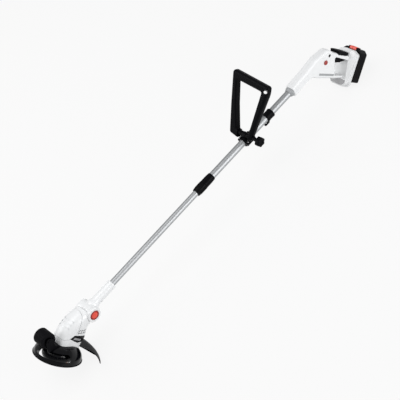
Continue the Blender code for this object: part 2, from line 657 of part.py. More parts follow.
def build_edge_wheel(frames):
    """Guide wheel ahead of the head, its axle and its bracket on the hood."""
    head = frames["head"]
    wheel = frames["wheel"]
    tyre = [(0.0205, WHEEL_HALF), (WHEEL_RADIUS - 0.0008, WHEEL_HALF - 0.0020), (WHEEL_RADIUS, WHEEL_HALF - 0.005),
            (WHEEL_RADIUS, 0.005 - WHEEL_HALF), (WHEEL_RADIUS - 0.0008, 0.0020 - WHEEL_HALF),
            (0.0205, -WHEEL_HALF), (0.0150, -WHEEL_HALF), (0.0150, WHEEL_HALF)]
    turned("edge_tyre", wheel, "soft_black", tyre, turn=LATERAL, segments=28)
    hub = [(0.0147, 0.0185), (0.0147, -0.0185), (0.0110, -0.0185), (0.0060, -0.0150), (0.0060, -0.0195),
           (0.0033, -0.0195), (0.0033, 0.0195), (0.0060, 0.0195), (0.0060, 0.0150), (0.0110, 0.0185)]
    turned("edge_hub", wheel, "black_plastic", hub, turn=LATERAL, segments=24)
    turned("edge_axle", wheel, "steel", [(0.0, 0.0245), (0.0030, 0.0245), (0.0030, -0.0245), (0.0, -0.0245)],
           closed=False, turn=LATERAL, segments=16)
    arm = [(-0.0730, 0.0440, 0.006), (-0.0560, 0.0150, 0.0), (-0.0200, 0.0200, 0.0), (-0.0200, 0.0350, 0.002),
           (-0.0380, 0.0370, 0.006), (-0.0500, 0.0560, 0.008), (-0.0600, 0.0605, 0.006), (-0.0725, 0.0580, 0.008)]
    bracket = put("wheel_bracket", plate_mesh("wheel_bracket", arm, 0.0240), head, "black_plastic")
    cut_box(bracket, head, (-0.12, -0.0207, -0.05), (-0.0385, 0.0207, 0.09), "wheel_slot")
    cut(bracket, put("bracket_housing_room", housing_mesh("room", -GAP), head))
    cut(bracket, hood_room("bracket_hood_room", head))
    cut_rod(bracket, wheel, 0.0033, -0.04, 0.04, "axle_hole", turn=LATERAL, segments=16)


def build_clamp(frames):
    """Two-part clamp of the loop handle on the upper tube, and its bolt."""
    clamp = frames["clamp"]
    knob = frames["knob"]
    half = CLAMP_LENGTH / 2
    top = put("clamp_top", rod_mesh("clamp_top", 0.0140, -half, half, 28), clamp, "black_plastic", turn=ALONG)
    lug = rod_mesh("lug", 0.0085, -0.0088, 0.0088, 20)
    cut(top, put("clamp_lug", lug, clamp, None, at=(0, 0, BOLT_HEIGHT), turn=LATERAL), "UNION")
    cut(top, put("lug_root", box_mesh("lug_root", (-0.0085, -0.0088, 0.006), (0.0085, 0.0088, BOLT_HEIGHT)),
                 clamp), "UNION")
    cut(top, put("top_flange", box_mesh("top_flange", (-half, -0.0215, 0.0), (half, 0.0215, 0.0040)), clamp),
        "UNION")
    cut_box(top, clamp, (-0.03, -0.03, -0.03), (0.03, 0.03, GAP / 2), "top_side")
    bottom = put("clamp_bottom", rod_mesh("clamp_bottom", 0.0175, -half, half, 28), clamp, "black_plastic",
                 turn=ALONG)
    cut(bottom, put("bottom_flange", box_mesh("bottom_flange", (-half, -0.0215, -0.0060), (half, 0.0215, 0.0)),
                    clamp), "UNION")
    cut_box(bottom, clamp, (-0.03, -0.03, -GAP / 2), (0.03, 0.03, 0.03), "bottom_side")
    for piece in (top, bottom):
        cut_rod(piece, clamp, UPPER_TUBE_RADIUS + GAP, -0.03, 0.03, f"{piece.name}_bore", turn=ALONG, segments=28)
    cut_rod(top, clamp, 0.0034, -0.03, 0.03, "bolt_hole", at=(0, 0, BOLT_HEIGHT), turn=LATERAL, segments=16)
    bolt = [(0.0, 0.0530), (0.0030, 0.0530), (0.0030, -0.0243), (0.0055, -0.0243), (0.0055, -0.0280),
            (0.0, -0.0280)]
    turned("clamp_bolt", clamp, "steel", bolt, closed=False, at=(0, 0, BOLT_HEIGHT), turn=LATERAL, segments=18)
    low, high = KNOB_SPAN
    body = put("clamp_knob", rod_mesh("clamp_knob", 0.0060, 0.0245, high - 0.003, 24), knob, "black_plastic",
               turn=LATERAL)
    disc = put("knob_disc", rod_mesh("knob_disc", KNOB_RADIUS - 0.003, low, high, 24), knob, None, turn=LATERAL)
    cut(body, disc, "UNION")
    for i in range(6):
        angle = 2 * math.pi * i / 6
        reach = KNOB_RADIUS - 0.0045
        place = (reach * math.cos(angle), 0, reach * math.sin(angle))
        cut(body, put(f"knob_lobe_{i}", rod_mesh("lobe", 0.0048, low, high, 10), knob, None, place, LATERAL),
            "UNION")
    cut_rod(body, knob, 0.0033, 0.0, 0.0540, "knob_bore", turn=LATERAL, segments=16)


# Outline of the loop handle in its own plane: distance to the operator's right, height and radius.
LOOP_OUTER = [
    (0.0250, -0.0165, 0.010), (0.0560, -0.0105, 0.009), (0.0675, 0.0820, 0.300), (0.0775, 0.1850, 0.010),
    (-0.0735, 0.1745, 0.009), (-0.0740, 0.1500, 0.060), (-0.0375, 0.0120, 0.010), (-0.0330, -0.0100, 0.008),
    (-0.0100, -0.0130, 0.008),
]
LOOP_INNER = [
    (0.0290, 0.0085, 0.008), (0.0500, 0.0820, 0.100), (0.0560, 0.1580, 0.006), (-0.0490, 0.1520, 0.006),
    (-0.0220, 0.0090, 0.006),
]
LOOP_HOLE = (-0.0640, 0.1600)


def build_loop(frames):
    """Loop handle: an uneven D that ends in two knuckles on the clamp bolt."""
    loop = frames["loop"]
    plane = (0, 0, math.pi / 2)
    half = LOOP_THICKNESS / 2
    handle = put("loop_handle", plate_mesh("loop_handle", LOOP_OUTER, half, 0.0080), loop, "black_plastic",
                 turn=plane)
    cut(handle, put("loop_opening", plate_mesh("loop_opening", LOOP_INNER, 0.03), loop, None, turn=plane))
    cut_box(handle, loop, (-0.03, -0.0225, -0.03), (0.03, 0.0225, 0.0100), "clamp_room")
    for side in (-1, 1):
        knuckle = rod_mesh("knuckle", 0.0078, 0.0098, 0.0280, 18)
        cut(handle, put(f"knuckle_{side}", knuckle, loop, None, turn=(side * math.pi / 2, 0, 0)), "UNION")
    cut_rod(handle, loop, 0.0034, -0.0800, 0.0800, "loop_bolt_hole", turn=LATERAL, segments=12)
    cut_rod(handle, loop, 0.0066, 0.0240, 0.0800, "knob_room", turn=LATERAL, segments=14)
    cut_rod(handle, loop, 0.0062, -0.0800, -0.0240, "bolt_head_room", turn=LATERAL, segments=14)
    cut_rod(handle, loop, 0.0035, -0.0200, 0.0200, "corner_hole", at=(0, LOOP_HOLE[0], LOOP_HOLE[1]), turn=ALONG,
            segments=12)


def build_strap_collar(frames):
    """Collar with the shoulder strap's eye under its front edge."""
    tool = frames["tool"]
    start, end = STRAP_SPAN
    collar = put("strap_collar", rod_mesh("strap_collar", 0.0150, start, end, 26), tool, "black_plastic",
                 turn=ALONG)
    round_edges(collar, 0.0018, 1)
    eye = [(start - 0.012, -0.0100, 0.003), (start - 0.012, -0.0250, 0.005), (start + 0.008, -0.0250, 0.005),
           (start + 0.012, -0.0120, 0.0), (start + 0.004, -0.0100, 0.0)]
    cut(collar, put("strap_eye", plate_mesh("strap_eye", eye[::-1], 0.0025), tool), "UNION")
    cut_rod(collar, tool, UPPER_TUBE_RADIUS + GAP, start - 0.02, end + 0.02, "collar_bore", turn=ALONG,
            segments=26)
    cut_rod(collar, tool, 0.0036, -0.01, 0.01, "eye_hole", at=(start - 0.0035, 0, -0.0188), turn=LATERAL,
            segments=16)


# Outline of the rear handle in the shaft's frame: x, z and corner radius, counter-clockwise.
HANDLE_OUTLINE = [
    (0.9125, -0.0160, 0.0), (0.9400, -0.0150, 0.0), (0.9760, -0.0135, 0.020), (0.9960, -0.0190, 0.020),
    (1.0673, -0.0918, 0.0), (1.1060, -0.1290, 0.0), (1.1200, -0.1160, 0.0), (1.1600, -0.0797, 0.0),
    (1.1040, -0.0106, 0.012), (1.0905, 0.0165, 0.020), (1.0350, 0.0255, 0.040),
    (0.9850, 0.0190, 0.040), (0.9125, 0.0160, 0.0),
]
FINGER_OPENING = [
    (1.0732, -0.0842, 0.006), (1.1130, -0.1240, 0.0), (1.1448, -0.0852, 0.0), (1.1011, -0.0255, 0.006),
]
# Outlines square to the pack's depth: distance to the right, height up the pack and corner radius.
DOCK_FRONT = [
    (-0.0230, -0.0320, 0.004), (0.0230, -0.0320, 0.004), (0.0340, -0.0200, 0.004), (0.0180, 0.0560, 0.006),
    (0.0170, 0.0770, 0.004), (-0.0170, 0.0770, 0.004), (-0.0180, 0.0560, 0.006), (-0.0340, -0.0200, 0.004),
]
DOCK_BACK = [
    (-0.0250, -0.0340, 0.006), (0.0250, -0.0340, 0.006), (DOCK_HALF, -0.0180, 0.006), (DOCK_HALF, 0.0750, 0.006),
    (0.0190, 0.0840, 0.004), (-0.0190, 0.0840, 0.004), (-DOCK_HALF, 0.0750, 0.006), (-DOCK_HALF, -0.0180, 0.006),
]
DOCK_FOOT = [
    (-0.0250, -0.0340, 0.006), (0.0250, -0.0340, 0.006), (0.0330, -0.0235, 0.004), (0.0330, -0.0153, 0.002),
    (-0.0330, -0.0153, 0.002), (-0.0330, -0.0235, 0.004),
]
PACK_END = [
    (-DOCK_HALF, -0.0150, 0.004), (DOCK_HALF, -0.0150, 0.004), (DOCK_HALF, 0.0800, 0.007),
    (0.0250, PACK_TOP, 0.004), (-0.0250, PACK_TOP, 0.004), (-DOCK_HALF, 0.0800, 0.007),
]


def dock_mesh(name, grow):
    """The dock's body, flaring from the grip's width to the pack's, grown by a margin."""
    levels = [(-0.0205 - grow, DOCK_FRONT, 0.0015), (-0.0190 - grow, DOCK_FRONT, 0.0),
              (-0.0130 - grow, DOCK_BACK, 0.0), (0.0035, DOCK_BACK, 0.0), (0.0045 + grow, DOCK_BACK, 0.0010)]
    rings = []
    for x, corners, inset in levels:
        rings.append([(x, p.x, p.y) for p in rounded(offset_corners(corners, inset - grow))])
    return skin_mesh(name, rings)


def build_handle_shells(frames):
    """Left and right halves of the rear handle, hollow, with a 2.4 mm wall."""
    tool = frames["tool"]
    grip = frames["grip"]
    opening_outer = offset_corners(FINGER_OPENING, -WALL)
    for name, side in (("handle_shell_left", -1), ("handle_shell_right", 1)):
        shell = put(name, plate_mesh(name, HANDLE_OUTLINE, HANDLE_HALF, 0.0055), tool, "white_plastic")
        cut(shell, put(f"{name}_opening", plate_mesh("opening", FINGER_OPENING, 0.05), tool))
        inner = offset_corners(HANDLE_OUTLINE, WALL)
        hollow = put(f"{name}_hollow", plate_mesh("hollow", inner, HANDLE_HALF - WALL, 0.0035, 2), tool)
        cut(hollow, put(f"{name}_opening_wall", plate_mesh("opening_wall", opening_outer, 0.05), tool))
        cut(shell, hollow)
        low, high = ((-0.05, -GAP / 2) if side < 0 else (GAP / 2, 0.05))
        cut(shell, put(f"{name}_side", box_mesh("side", (0.85, low, -0.25), (1.25, high, 0.10)), tool),
            "INTERSECT")
        cut(shell, put(f"{name}_dock_room", dock_mesh("dock_room", GAP), frames["dock"]))
        cut_rod(shell, tool, UPPER_TUBE_RADIUS + GAP, 0.90, 0.95, f"{name}_tube_room", turn=ALONG, segments=32)
        cut_box(shell, grip, (0.0178, -0.0106, -0.0300), (0.0790, 0.0106, -0.0120), f"{name}_trigger_slot")
        if side < 0:
            cut_rod(shell, frames["lock_off"], LOCK_OFF_RADIUS + GAP, 0.0, 0.03, "lock_off_hole", turn=LATERAL)


def build_grip_pad(frames):
    """Soft pad over the top and upper flanks of the grip."""
    grip = frames["grip"]
    outline = [(-0.0020, 0.0010, 0.003), (0.0030, -0.0090, 0.003), (0.0660, -0.0040, 0.004),
               (GRIP_LENGTH + 0.0070, -0.0010, 0.002), (GRIP_LENGTH + 0.0050, 0.0072, 0.002),
               (0.0250, 0.0064, 0.020)]
    pad = put("grip_pad", plate_mesh("grip_pad", outline, PAD_HALF, 0.0035, 2), grip, "soft_black")
    core = offset_corners(HANDLE_OUTLINE, -GAP)
    cut(pad, put("grip_core_room", plate_mesh("core_room", core, HANDLE_HALF + GAP, 0.0055), frames["tool"]))
    cut(pad, put("pad_dock_room", dock_mesh("dock_room", GAP), frames["dock"]))


def build_trigger(frames):
    """Trigger lever, its pin and torsion spring, the switch, and the lock-off button with its spring."""
    grip = frames["grip"]
    trigger = frames["trigger"]
    tool = frames["tool"]
    outline = [(-0.0545, -0.0028, 0.001), (-0.0550, -0.0140, 0.004), (-0.0460, -0.0200, 0.006),
               (-0.0200, -0.0160, 0.020), (0.0010, -0.0070, 0.004), (0.0040, -0.0010, 0.002),
               (0.0030, 0.0035, 0.002), (-0.0040, 0.0035, 0.002), (-0.0100, -0.0028, 0.001)]
    lever = put("trigger", plate_mesh("trigger", outline, 0.0080, 0.0020, 2), trigger, "black_plastic")
    cut_rod(lever, trigger, 0.0018, -0.02, 0.02, "trigger_bore", turn=LATERAL, segments=12)
    put("trigger_pin", rod_mesh("trigger_pin", 0.0015, -0.0138, 0.0138, 12), grip, "steel",
        at=TRIGGER_AT, turn=LATERAL)
    spring = wire_mesh("trigger_spring", coil_points(0.0026, 0.0087, 0.0100, 1), 0.0004)
    put("trigger_spring", spring, grip, "spring_steel", at=TRIGGER_AT, turn=LATERAL)
    switch = put("switch_body", box_mesh("switch_body", (1.060, -0.0080, 0.0000), (1.086, 0.0080, 0.0120)), tool,
                 "black_plastic")
    round_edges(switch, 0.0008, 1)
    button = [(0.0, 0.0200), (0.0050, 0.0198), (LOCK_OFF_RADIUS - 0.0008, 0.0190), (LOCK_OFF_RADIUS, 0.0178),
              (LOCK_OFF_RADIUS, 0.0136), (0.0088, 0.0136), (0.0088, 0.0120), (0.0042, 0.0120), (0.0042, 0.0165),
              (0.0, 0.0165)]
    turned("lock_off_button", frames["lock_off"], "red_plastic", button, closed=False, turn=LATERAL,
           segments=28)
    coil = wire_mesh("lock_off_spring", coil_points(0.0032, -0.0130, 0.0125, 5), 0.0004)
    put("lock_off_spring", coil, tool, "spring_steel", at=(LOCK_OFF_AT[0], 0, LOCK_OFF_AT[1]), turn=LATERAL)


def build_neck(frames):
    """Flared ring where the tube enters the handle."""
    ring = [(0.0165, RING_AT), (0.0165, RING_AT - 0.002), (0.0125, RING_AT - 0.010),
            (UPPER_TUBE_RADIUS + GAP, RING_AT - 0.010), (UPPER_TUBE_RADIUS + GAP, RING_AT)]
    turned("neck_ring", frames["tool"], "grey_plastic", ring, turn=ALONG)


def end_mesh(name, corners, near, far, edge):
    """An outline in y and z carried along x from near to far, with both its edges rounded over."""
    mesh = plate_mesh(name, corners, (far - near) / 2, edge, 2)
    mesh.transform(Matrix.Translation(((near + far) / 2, 0, 0)) @ Matrix.Rotation(math.pi / 2, 4, "Z"))
    return mesh


def build_dock(frames):
    """Battery dock: hollow, open towards the pack, with the foot that the pack stands on."""
    dock_frame = frames["dock"]
    dock = put("battery_dock", dock_mesh("battery_dock", 0.0), dock_frame, "white_plastic")
    cut(dock, put("dock_foot", end_mesh("dock_foot", DOCK_FOOT, 0.0030, 0.0135, 0.0015), dock_frame), "UNION")
    rings = []
    for x, corners in ((-0.0165, DOCK_FRONT), (-0.0112, DOCK_BACK), (0.0021, DOCK_BACK)):
        rings.append([(x, p.x, p.y) for p in rounded(offset_corners(corners, WALL))])
    cut(dock, put("dock_hollow", skin_mesh("dock_hollow", rings), dock_frame))
    cut_box(dock, dock_frame, (0.0, -0.0250, -0.0060), (0.0070, 0.0250, 0.0640), "dock_mouth")
    block = put("terminal_block", box_mesh("terminal_block", (-0.0100, -0.0180, 0.0100), (0.0015, 0.0180, 0.0400)),
                dock_frame, "black_plastic")
    round_edges(block, 0.0010, 1)


def build_pack(frames):
    """Battery pack: base, cover, cells and the release button in its top."""
    pack = frames["pack"]
    near, split, far = PACK_DEPTHS
    inner = offset_corners(PACK_END, 0.0022)
    base = put("pack_base", end_mesh("pack_base", PACK_END, near, split + 0.02, 0.0015), pack, "black_plastic")
    cover = put("pack_cover", end_mesh("pack_cover", PACK_END, split - 0.02, far, 0.0060), pack, "black_plastic")
    cut_box(base, pack, (split - GAP, -0.05, -0.05), (split + 0.03, 0.05, 0.12), "base_face")
    cut_box(cover, pack, (split - 0.03, -0.05, -0.05), (split, 0.05, 0.12), "cover_face")
    cut(base, put("base_hollow", end_mesh("base_hollow", inner, near + WALL, split + 0.02, 0.0), pack))
    cut(cover, put("cover_hollow", end_mesh("cover_hollow", inner, split - 0.02, far - WALL, 0.0030), pack))
    for shell in (base, cover):
        cut_box(shell, pack, (0.0077, -0.0178, 0.080), (0.0263, 0.0178, 0.10), f"{shell.name}_release_hole")
    for i in range(CELL_COUNT):
        name = f"battery_cell_{i + 1}"
        place = (0.0270, 0, -0.0126 + CELL_RADIUS + i * (2 * CELL_RADIUS + 0.0001))
        put(name, rod_mesh(name, CELL_RADIUS, -CELL_LENGTH / 2, CELL_LENGTH / 2, 20), pack, "cell_wrap",
            at=place, turn=LATERAL)
    button = put("release_button", box_mesh("release_button", (0.0080, -0.0175, 0.0845), (0.0260, 0.0175, 0.0945)),
                 frames["release"], "red_plastic")
    round_edges(button, 0.0018, 2)


def main():
    frames = build_frames()
    build_tubes(frames)
    build_lock(frames)
    build_tilt_joint(frames)
    build_motor_housing(frames)
    build_motor(frames)
    build_hood(frames)
    build_guard(frames)
    build_spool(frames)
    build_edge_wheel(frames)
    build_clamp(frames)
    build_loop(frames)
    build_strap_collar(frames)
    build_handle_shells(frames)
    build_grip_pad(frames)
    build_trigger(frames)
    build_neck(frames)
    build_dock(frames)
    build_pack(frames)
    for item in PARTS.objects:
        if item.type == "MESH" and item.data.polygons:
            shade(item)


main()
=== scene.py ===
"""Looks of a cordless string trimmer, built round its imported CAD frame.

Each sub-assembly is shaped in the axes that its solids use: the shaft's own, with x along the shaft
from the tilt pivot and z up, and those of the head, the loop handle, the grip and the battery,
which hang from it. A finished piece has its place in its mesh. Metres.
"""

from __future__ import annotations

import json
import logging
import math
from collections.abc import Iterable, Mapping, Sequence
from dataclasses import dataclass
from enum import Enum

import bmesh
import bpy
from mathutils import Matrix, Vector

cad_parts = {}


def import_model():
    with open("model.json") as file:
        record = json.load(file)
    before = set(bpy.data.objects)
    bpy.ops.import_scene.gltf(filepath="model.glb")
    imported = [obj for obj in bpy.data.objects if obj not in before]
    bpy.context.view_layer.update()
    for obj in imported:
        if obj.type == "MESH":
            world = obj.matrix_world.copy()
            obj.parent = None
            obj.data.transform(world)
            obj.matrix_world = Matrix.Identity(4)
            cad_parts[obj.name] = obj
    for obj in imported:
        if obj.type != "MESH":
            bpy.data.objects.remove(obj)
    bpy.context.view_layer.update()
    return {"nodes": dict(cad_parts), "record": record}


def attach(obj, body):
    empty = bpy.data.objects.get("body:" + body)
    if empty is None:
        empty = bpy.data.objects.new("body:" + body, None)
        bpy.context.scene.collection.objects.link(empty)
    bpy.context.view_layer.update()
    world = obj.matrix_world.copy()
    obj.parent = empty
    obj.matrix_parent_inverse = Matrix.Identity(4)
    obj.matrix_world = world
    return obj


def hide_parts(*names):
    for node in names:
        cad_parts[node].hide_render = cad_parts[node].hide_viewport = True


LOG = logging.getLogger("trimmer")
GAP = 0.0003
WALL = 0.0024
LOWER_RADIUS = 0.0095
UPPER_RADIUS = 0.0110
TUBE_BORE = UPPER_RADIUS + GAP
PIN_BORE = 0.0053
BOLT_BORE = 0.0034
BOLT_HEIGHT = 0.0190
SHARP_TURN = math.radians(35.0)
SIDES = ((-1, "left"), (1, "right"))
WHITE = (1.0, 1.0, 1.0, 1.0)

Corner = tuple[float, float, float]
Profile = Sequence[tuple[float, float]]


def shift(x: float, y: float, z: float) -> Matrix:
    """A move by three distances."""
    return Matrix.Translation((x, y, z))


def round_axis(turn: float) -> Matrix:
    """A turn round z by an angle in radians."""
    return Matrix.Rotation(turn, 4, "Z")


def hung(parent: Matrix, at: Sequence[float], turn: float = 0.0) -> Matrix:
    """Axes that hang from others and turn about their y.

    Args:
        parent: The axes that they hang from.
        at: Where they stand in those axes.
        turn: Their turn about y in radians.

    Returns:
        The axes in the object's frame.
    """
    return parent @ Matrix.Translation(at) @ Matrix.Rotation(turn, 4, "Y")


TOOL = hung(Matrix.Identity(4), (-0.5091, 0.0, 0.1141), -math.radians(2.8))
HEAD = hung(TOOL, (-0.1405, 0.0, -0.0300), math.radians(49.0))
WHEEL = hung(HEAD, (-0.0634, 0.0, 0.0508))
LOCK = hung(TOOL, (0.471, 0.0, 0.0))
CLAMP = hung(TOOL, (0.704, 0.0, 0.0))
BOLT = hung(CLAMP, (0.0, 0.0, BOLT_HEIGHT))
LOOP = hung(BOLT, (0.0, 0.0, 0.0), math.radians(37.4))
GRIP = hung(TOOL, (1.1075, 0.0, -0.0072), math.radians(53.8))
TRIGGER = hung(GRIP, (0.0740, 0.0, -0.0110))
LOCK_OFF = hung(TOOL, (1.0600, 0.0, -0.0110))
DOCK = hung(TOOL, (1.1160, 0.0, -0.1280), math.radians(50.0))

# Turns that carry a turned piece's axis to the operator's left and right, and along the shaft.
LATERAL = Matrix.Rotation(math.pi / 2, 4, "X")
OUTWARD = {1: LATERAL.inverted(), -1: LATERAL}
ALONG = Matrix.Rotation(math.pi / 2, 4, "Y")
# Turns that carry a plate's outline into the plane across the shaft, and into plan.
ACROSS = round_axis(math.pi / 2)
FLAT = Matrix.Rotation(-math.pi / 2, 4, "X")


class Slot(str, Enum):
    """Material slots of the record."""

    WHITE_HOUSING = "white_housing"
    WHITE_HANDLE = "white_handle"
    GREY = "grey_plastic"
    BLACK = "black_plastic"
    GLOSS_BLACK = "gloss_black"
    SOFT_BLACK = "soft_black"
    RED = "red_plastic"
    ALUMINIUM = "satin_aluminium"
    STEEL = "steel"
    SPRING = "spring_steel"
    LINE = "nylon_line"
    CELL = "cell_wrap"


class Body(str, Enum):
    """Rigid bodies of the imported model."""

    HANDLE = "handle"
    SHAFT = "lower_shaft"
    LOCK_NUT = "lock_nut"
    HEAD = "head"
    TILT_BUTTON = "tilt_button"
    SPOOL = "spool"
    BUMP_KNOB = "bump_knob"
    WHEEL = "edge_wheel"
    CLAMP = "clamp"
    KNOB = "clamp_knob"
    LOOP = "loop_handle"
    TRIGGER = "trigger"
    LOCK_OFF = "lock_off_button"
    PACK = "battery_pack"
    RELEASE = "release_button"


class Value:
    """A socket of a material's nodes that takes part in Python arithmetic."""

    def __init__(self, graph: Graph, socket: bpy.types.NodeSocket) -> None:
        """Wraps an output socket."""
        self.graph = graph
        self.socket = socket

    def _maths(self, operation: str, first: object, second: object) -> Value:
        """A Math node on two values."""
        return self.graph.node("ShaderNodeMath", {"operation": operation}, {0: first, 1: second})

    def __add__(self, other: object) -> Value:
        """Sum."""
        return self._maths("ADD", self, other)

    __radd__ = __add__

    def __rsub__(self, other: object) -> Value:
        """Difference from a number."""
        return self._maths("SUBTRACT", other, self)

    def __mul__(self, other: object) -> Value:
        """Product."""
        return self._maths("MULTIPLY", self, other)


class Graph:
    """The node tree of one material, or of the world."""

    def __init__(self, owner: bpy.types.Material | bpy.types.World) -> None:
        """Empties the owner's tree."""
        self.owner = owner
        owner.use_nodes = True
        self.tree = owner.node_tree
        self.tree.nodes.clear()

    def node(self, kind: str, settings: Mapping[str, object] | None = None,
             inputs: Mapping[int | str, object] | None = None, output: int | str = 0) -> Value:
        """Adds a node.

        Args:
            kind: The node's type.
            settings: Its own settings; "stops" gives a ramp's (place, grey) pairs.
            inputs: Values or links of its sockets.
            output: The output that is wanted.

        Returns:
            That output.
        """
        made = self.tree.nodes.new(kind)
        for key, value in (settings or {}).items():
            if key == "stops":
                self._set_stops(made.color_ramp, value)
            else:
                setattr(made, key, value)
        for key, value in (inputs or {}).items():
            if isinstance(value, Value):
                self.tree.links.new(value.socket, made.inputs[key])
            else:
                made.inputs[key].default_value = value
        return Value(self, made.outputs[output])

    @staticmethod
    def _set_stops(ramp: bpy.types.ColorRamp, stops: Sequence[tuple[float, float]]) -> None:
        """Sets a ramp to its grey stops."""
        while len(ramp.elements) < len(stops):
            ramp.elements.new(0.5)
        for element, (place, grey) in zip(ramp.elements, stops):
            element.position = place
            element.color = (grey, grey, grey, 1.0)

    def place(self, axes: Matrix, scale: Sequence[float] = (1.0, 1.0, 1.0)) -> Value:
        """Object coordinates seen from other axes.

        Args:
            axes: The axes whose turn the pattern takes.
            scale: Stretch of the pattern along them.

        Returns:
            The coordinates.
        """
        where = self.node("ShaderNodeTexCoord", output="Object")
        turned = self.node("ShaderNodeMapping", {"vector_type": "POINT"}, {
            "Vector": where, "Rotation": axes.inverted().to_euler(), "Location": axes.inverted().to_translation()})
        return self.node("ShaderNodeVectorMath", {"operation": "MULTIPLY"}, {0: turned, 1: scale})

    def noise(self, where: Value, scale: float, detail: float = 2.0) -> Value:
        """Noise from 0 to 1."""
        return self.node("ShaderNodeTexNoise", {}, {"Vector": where, "Scale": scale, "Detail": detail})

    def blend(self, share: Value, first: Sequence[float], second: Sequence[float]) -> Value:
        """A colour between two, by a share."""
        return self.node("ShaderNodeMix", {"data_type": "RGBA"},
                         {0: share, 6: (*first, 1.0), 7: (*second, 1.0)}, 2)

    def bump(self, height: Value, depth: float) -> Value:
        """A normal from a height of 0 to 1 that stands for a depth in metres."""
        return self.node("ShaderNodeBump", {}, {"Height": height, "Distance": depth, "Strength": 1.0})

    def close(self, inputs: Mapping[str, object]) -> bpy.types.Material:
        """Adds the surface shader and the output.

        Args:
            inputs: Values or links of the shader's sockets.

        Returns:
            The finished material.
        """
        self.show(self.node("ShaderNodeBsdfPrincipled", {}, inputs))
        return self.owner

    def show(self, shader: Value) -> None:
        """Links a shader to the output."""
        kind = "World" if isinstance(self.owner, bpy.types.World) else "Material"
        output = self.tree.nodes.new(f"ShaderNodeOutput{kind}")
        self.tree.links.new(shader.socket, output.inputs["Surface"])


@dataclass(frozen=True)
class Finish:
    """What all finishes have: the record's slot, a colour and how it shines."""

    slot: Slot
    colour: tuple[float, float, float]
    roughness: float
    metallic: float = 0.0
    coat: float = 0.0
    gloss: float = 0.5
    name: str = ""

    def material(self) -> bpy.types.Material:
        """The finish's material, made once."""
        label = self.name or self.slot.value
        found = bpy.data.materials.get(f"look_{label}")
        return found or self.dress(Graph(bpy.data.materials.new(f"look_{label}")))

    def shade(self, factor: float) -> tuple[float, float, float]:
        """The colour, lighter or darker by a factor."""
        return tuple(min(1.0, channel * factor) for channel in self.colour)

    def dress(self, graph: Graph) -> bpy.types.Material:
        """Fills the material's nodes."""
        raise NotImplementedError


@dataclass(frozen=True)
class Moulded(Finish):
    """Moulded plastic: faint flow clouds, spark-eroded grain and handling marks in the shine."""

    grain: float = 0.00006
    clouds: float = 0.03

    def dress(self, graph: Graph) -> bpy.types.Material:
        """Fills the material's nodes."""
        where = graph.place(TOOL)
        cloud = graph.noise(where, 14.0)
        fine = graph.noise(where, 1500.0, 1.0)
        rub = graph.noise(graph.place(TOOL, (1.0, 4.0, 4.0)), 60.0, 3.0)
        return graph.close({
            "Base Color": graph.blend(cloud, self.shade(1.0 - self.clouds), self.shade(1.0 + self.clouds)),
            "Roughness": self.roughness - 0.05 + rub * 0.10,
            "Metallic": self.metallic,
            "Coat Weight": self.coat,
            "Coat Roughness": 0.15,
            "Specular IOR Level": self.gloss,
            "Normal": graph.bump(fine, self.grain),
        })


@dataclass(frozen=True)
class Rubber(Finish):
    """Soft-touch rubber with a pebbled skin and a little dust in its hollows."""

    pebble: float = 700.0

    def dress(self, graph: Graph) -> bpy.types.Material:
        """Fills the material's nodes."""
        where = graph.place(TOOL)
        cell = graph.node("ShaderNodeTexVoronoi", {"feature": "SMOOTH_F1"},
                          {"Vector": where, "Scale": self.pebble})
        dust = graph.noise(where, 40.0, 4.0)
        return graph.close({
            "Base Color": graph.blend(cell * dust, self.shade(0.85), self.shade(1.7)),
            "Roughness": self.roughness + cell * 0.12,
            "Specular IOR Level": self.gloss,
            "Normal": graph.bump(1.0 - cell, 0.00012),
        })


@dataclass(frozen=True)
class Drawn(Finish):
    """Drawn and anodised tube: streaks along the shaft."""

    def dress(self, graph: Graph) -> bpy.types.Material:
        """Fills the material's nodes."""
        streak = graph.noise(graph.place(TOOL, (3.0, 700.0, 700.0)), 1.0, 4.0)
        cloud = graph.noise(graph.place(TOOL), 9.0)
        return graph.close({
            "Base Color": graph.blend(streak * 0.7 + cloud * 0.3, self.shade(0.90), self.shade(1.10)),
            "Roughness": self.roughness - 0.06 + streak * 0.14,
            "Metallic": self.metallic,
            "Normal": graph.bump(streak, 0.00002),
        })


@dataclass(frozen=True)
class Machined(Finish):
    """Bright or dark steel with fine tool marks and a few stains."""

    marks: float = 1800.0

    def dress(self, graph: Graph) -> bpy.types.Material:
        """Fills the material's nodes."""
        mark = graph.noise(graph.place(TOOL, (0.15, 1.0, 1.0)), self.marks, 2.0)
        stain = graph.noise(graph.place(TOOL), 120.0, 4.0)
        return graph.close({
            "Base Color": graph.blend(stain, self.shade(0.86), self.shade(1.08)),
            "Roughness": self.roughness - 0.05 + mark * 0.12,
            "Metallic": self.metallic,
            "Normal": graph.bump(mark, 0.00002),
        })


@dataclass(frozen=True)
class Wound(Finish):
    """Nylon line wound in turns round the spool's axis, 1.6 mm apart."""

    turns: float = 1250.0

    def dress(self, graph: Graph) -> bpy.types.Material:
        """Fills the material's nodes."""
        where = graph.place(HEAD)
        wave = graph.node("ShaderNodeTexWave", {"wave_type": "BANDS", "bands_direction": "Z"},
                          {"Vector": where, "Scale": self.turns / 20.0, "Distortion": 0.6, "Detail": 1.0})
        cloud = graph.noise(where, 80.0)
        return graph.close({
            # The colour is darker where the bands sink between turns: painted shade in those grooves.
            "Base Color": graph.blend(wave * 0.8 + cloud * 0.2, self.shade(0.62), self.shade(1.05)),
            "Roughness": self.roughness,
            "Normal": graph.bump(wave, 0.0003),
        })


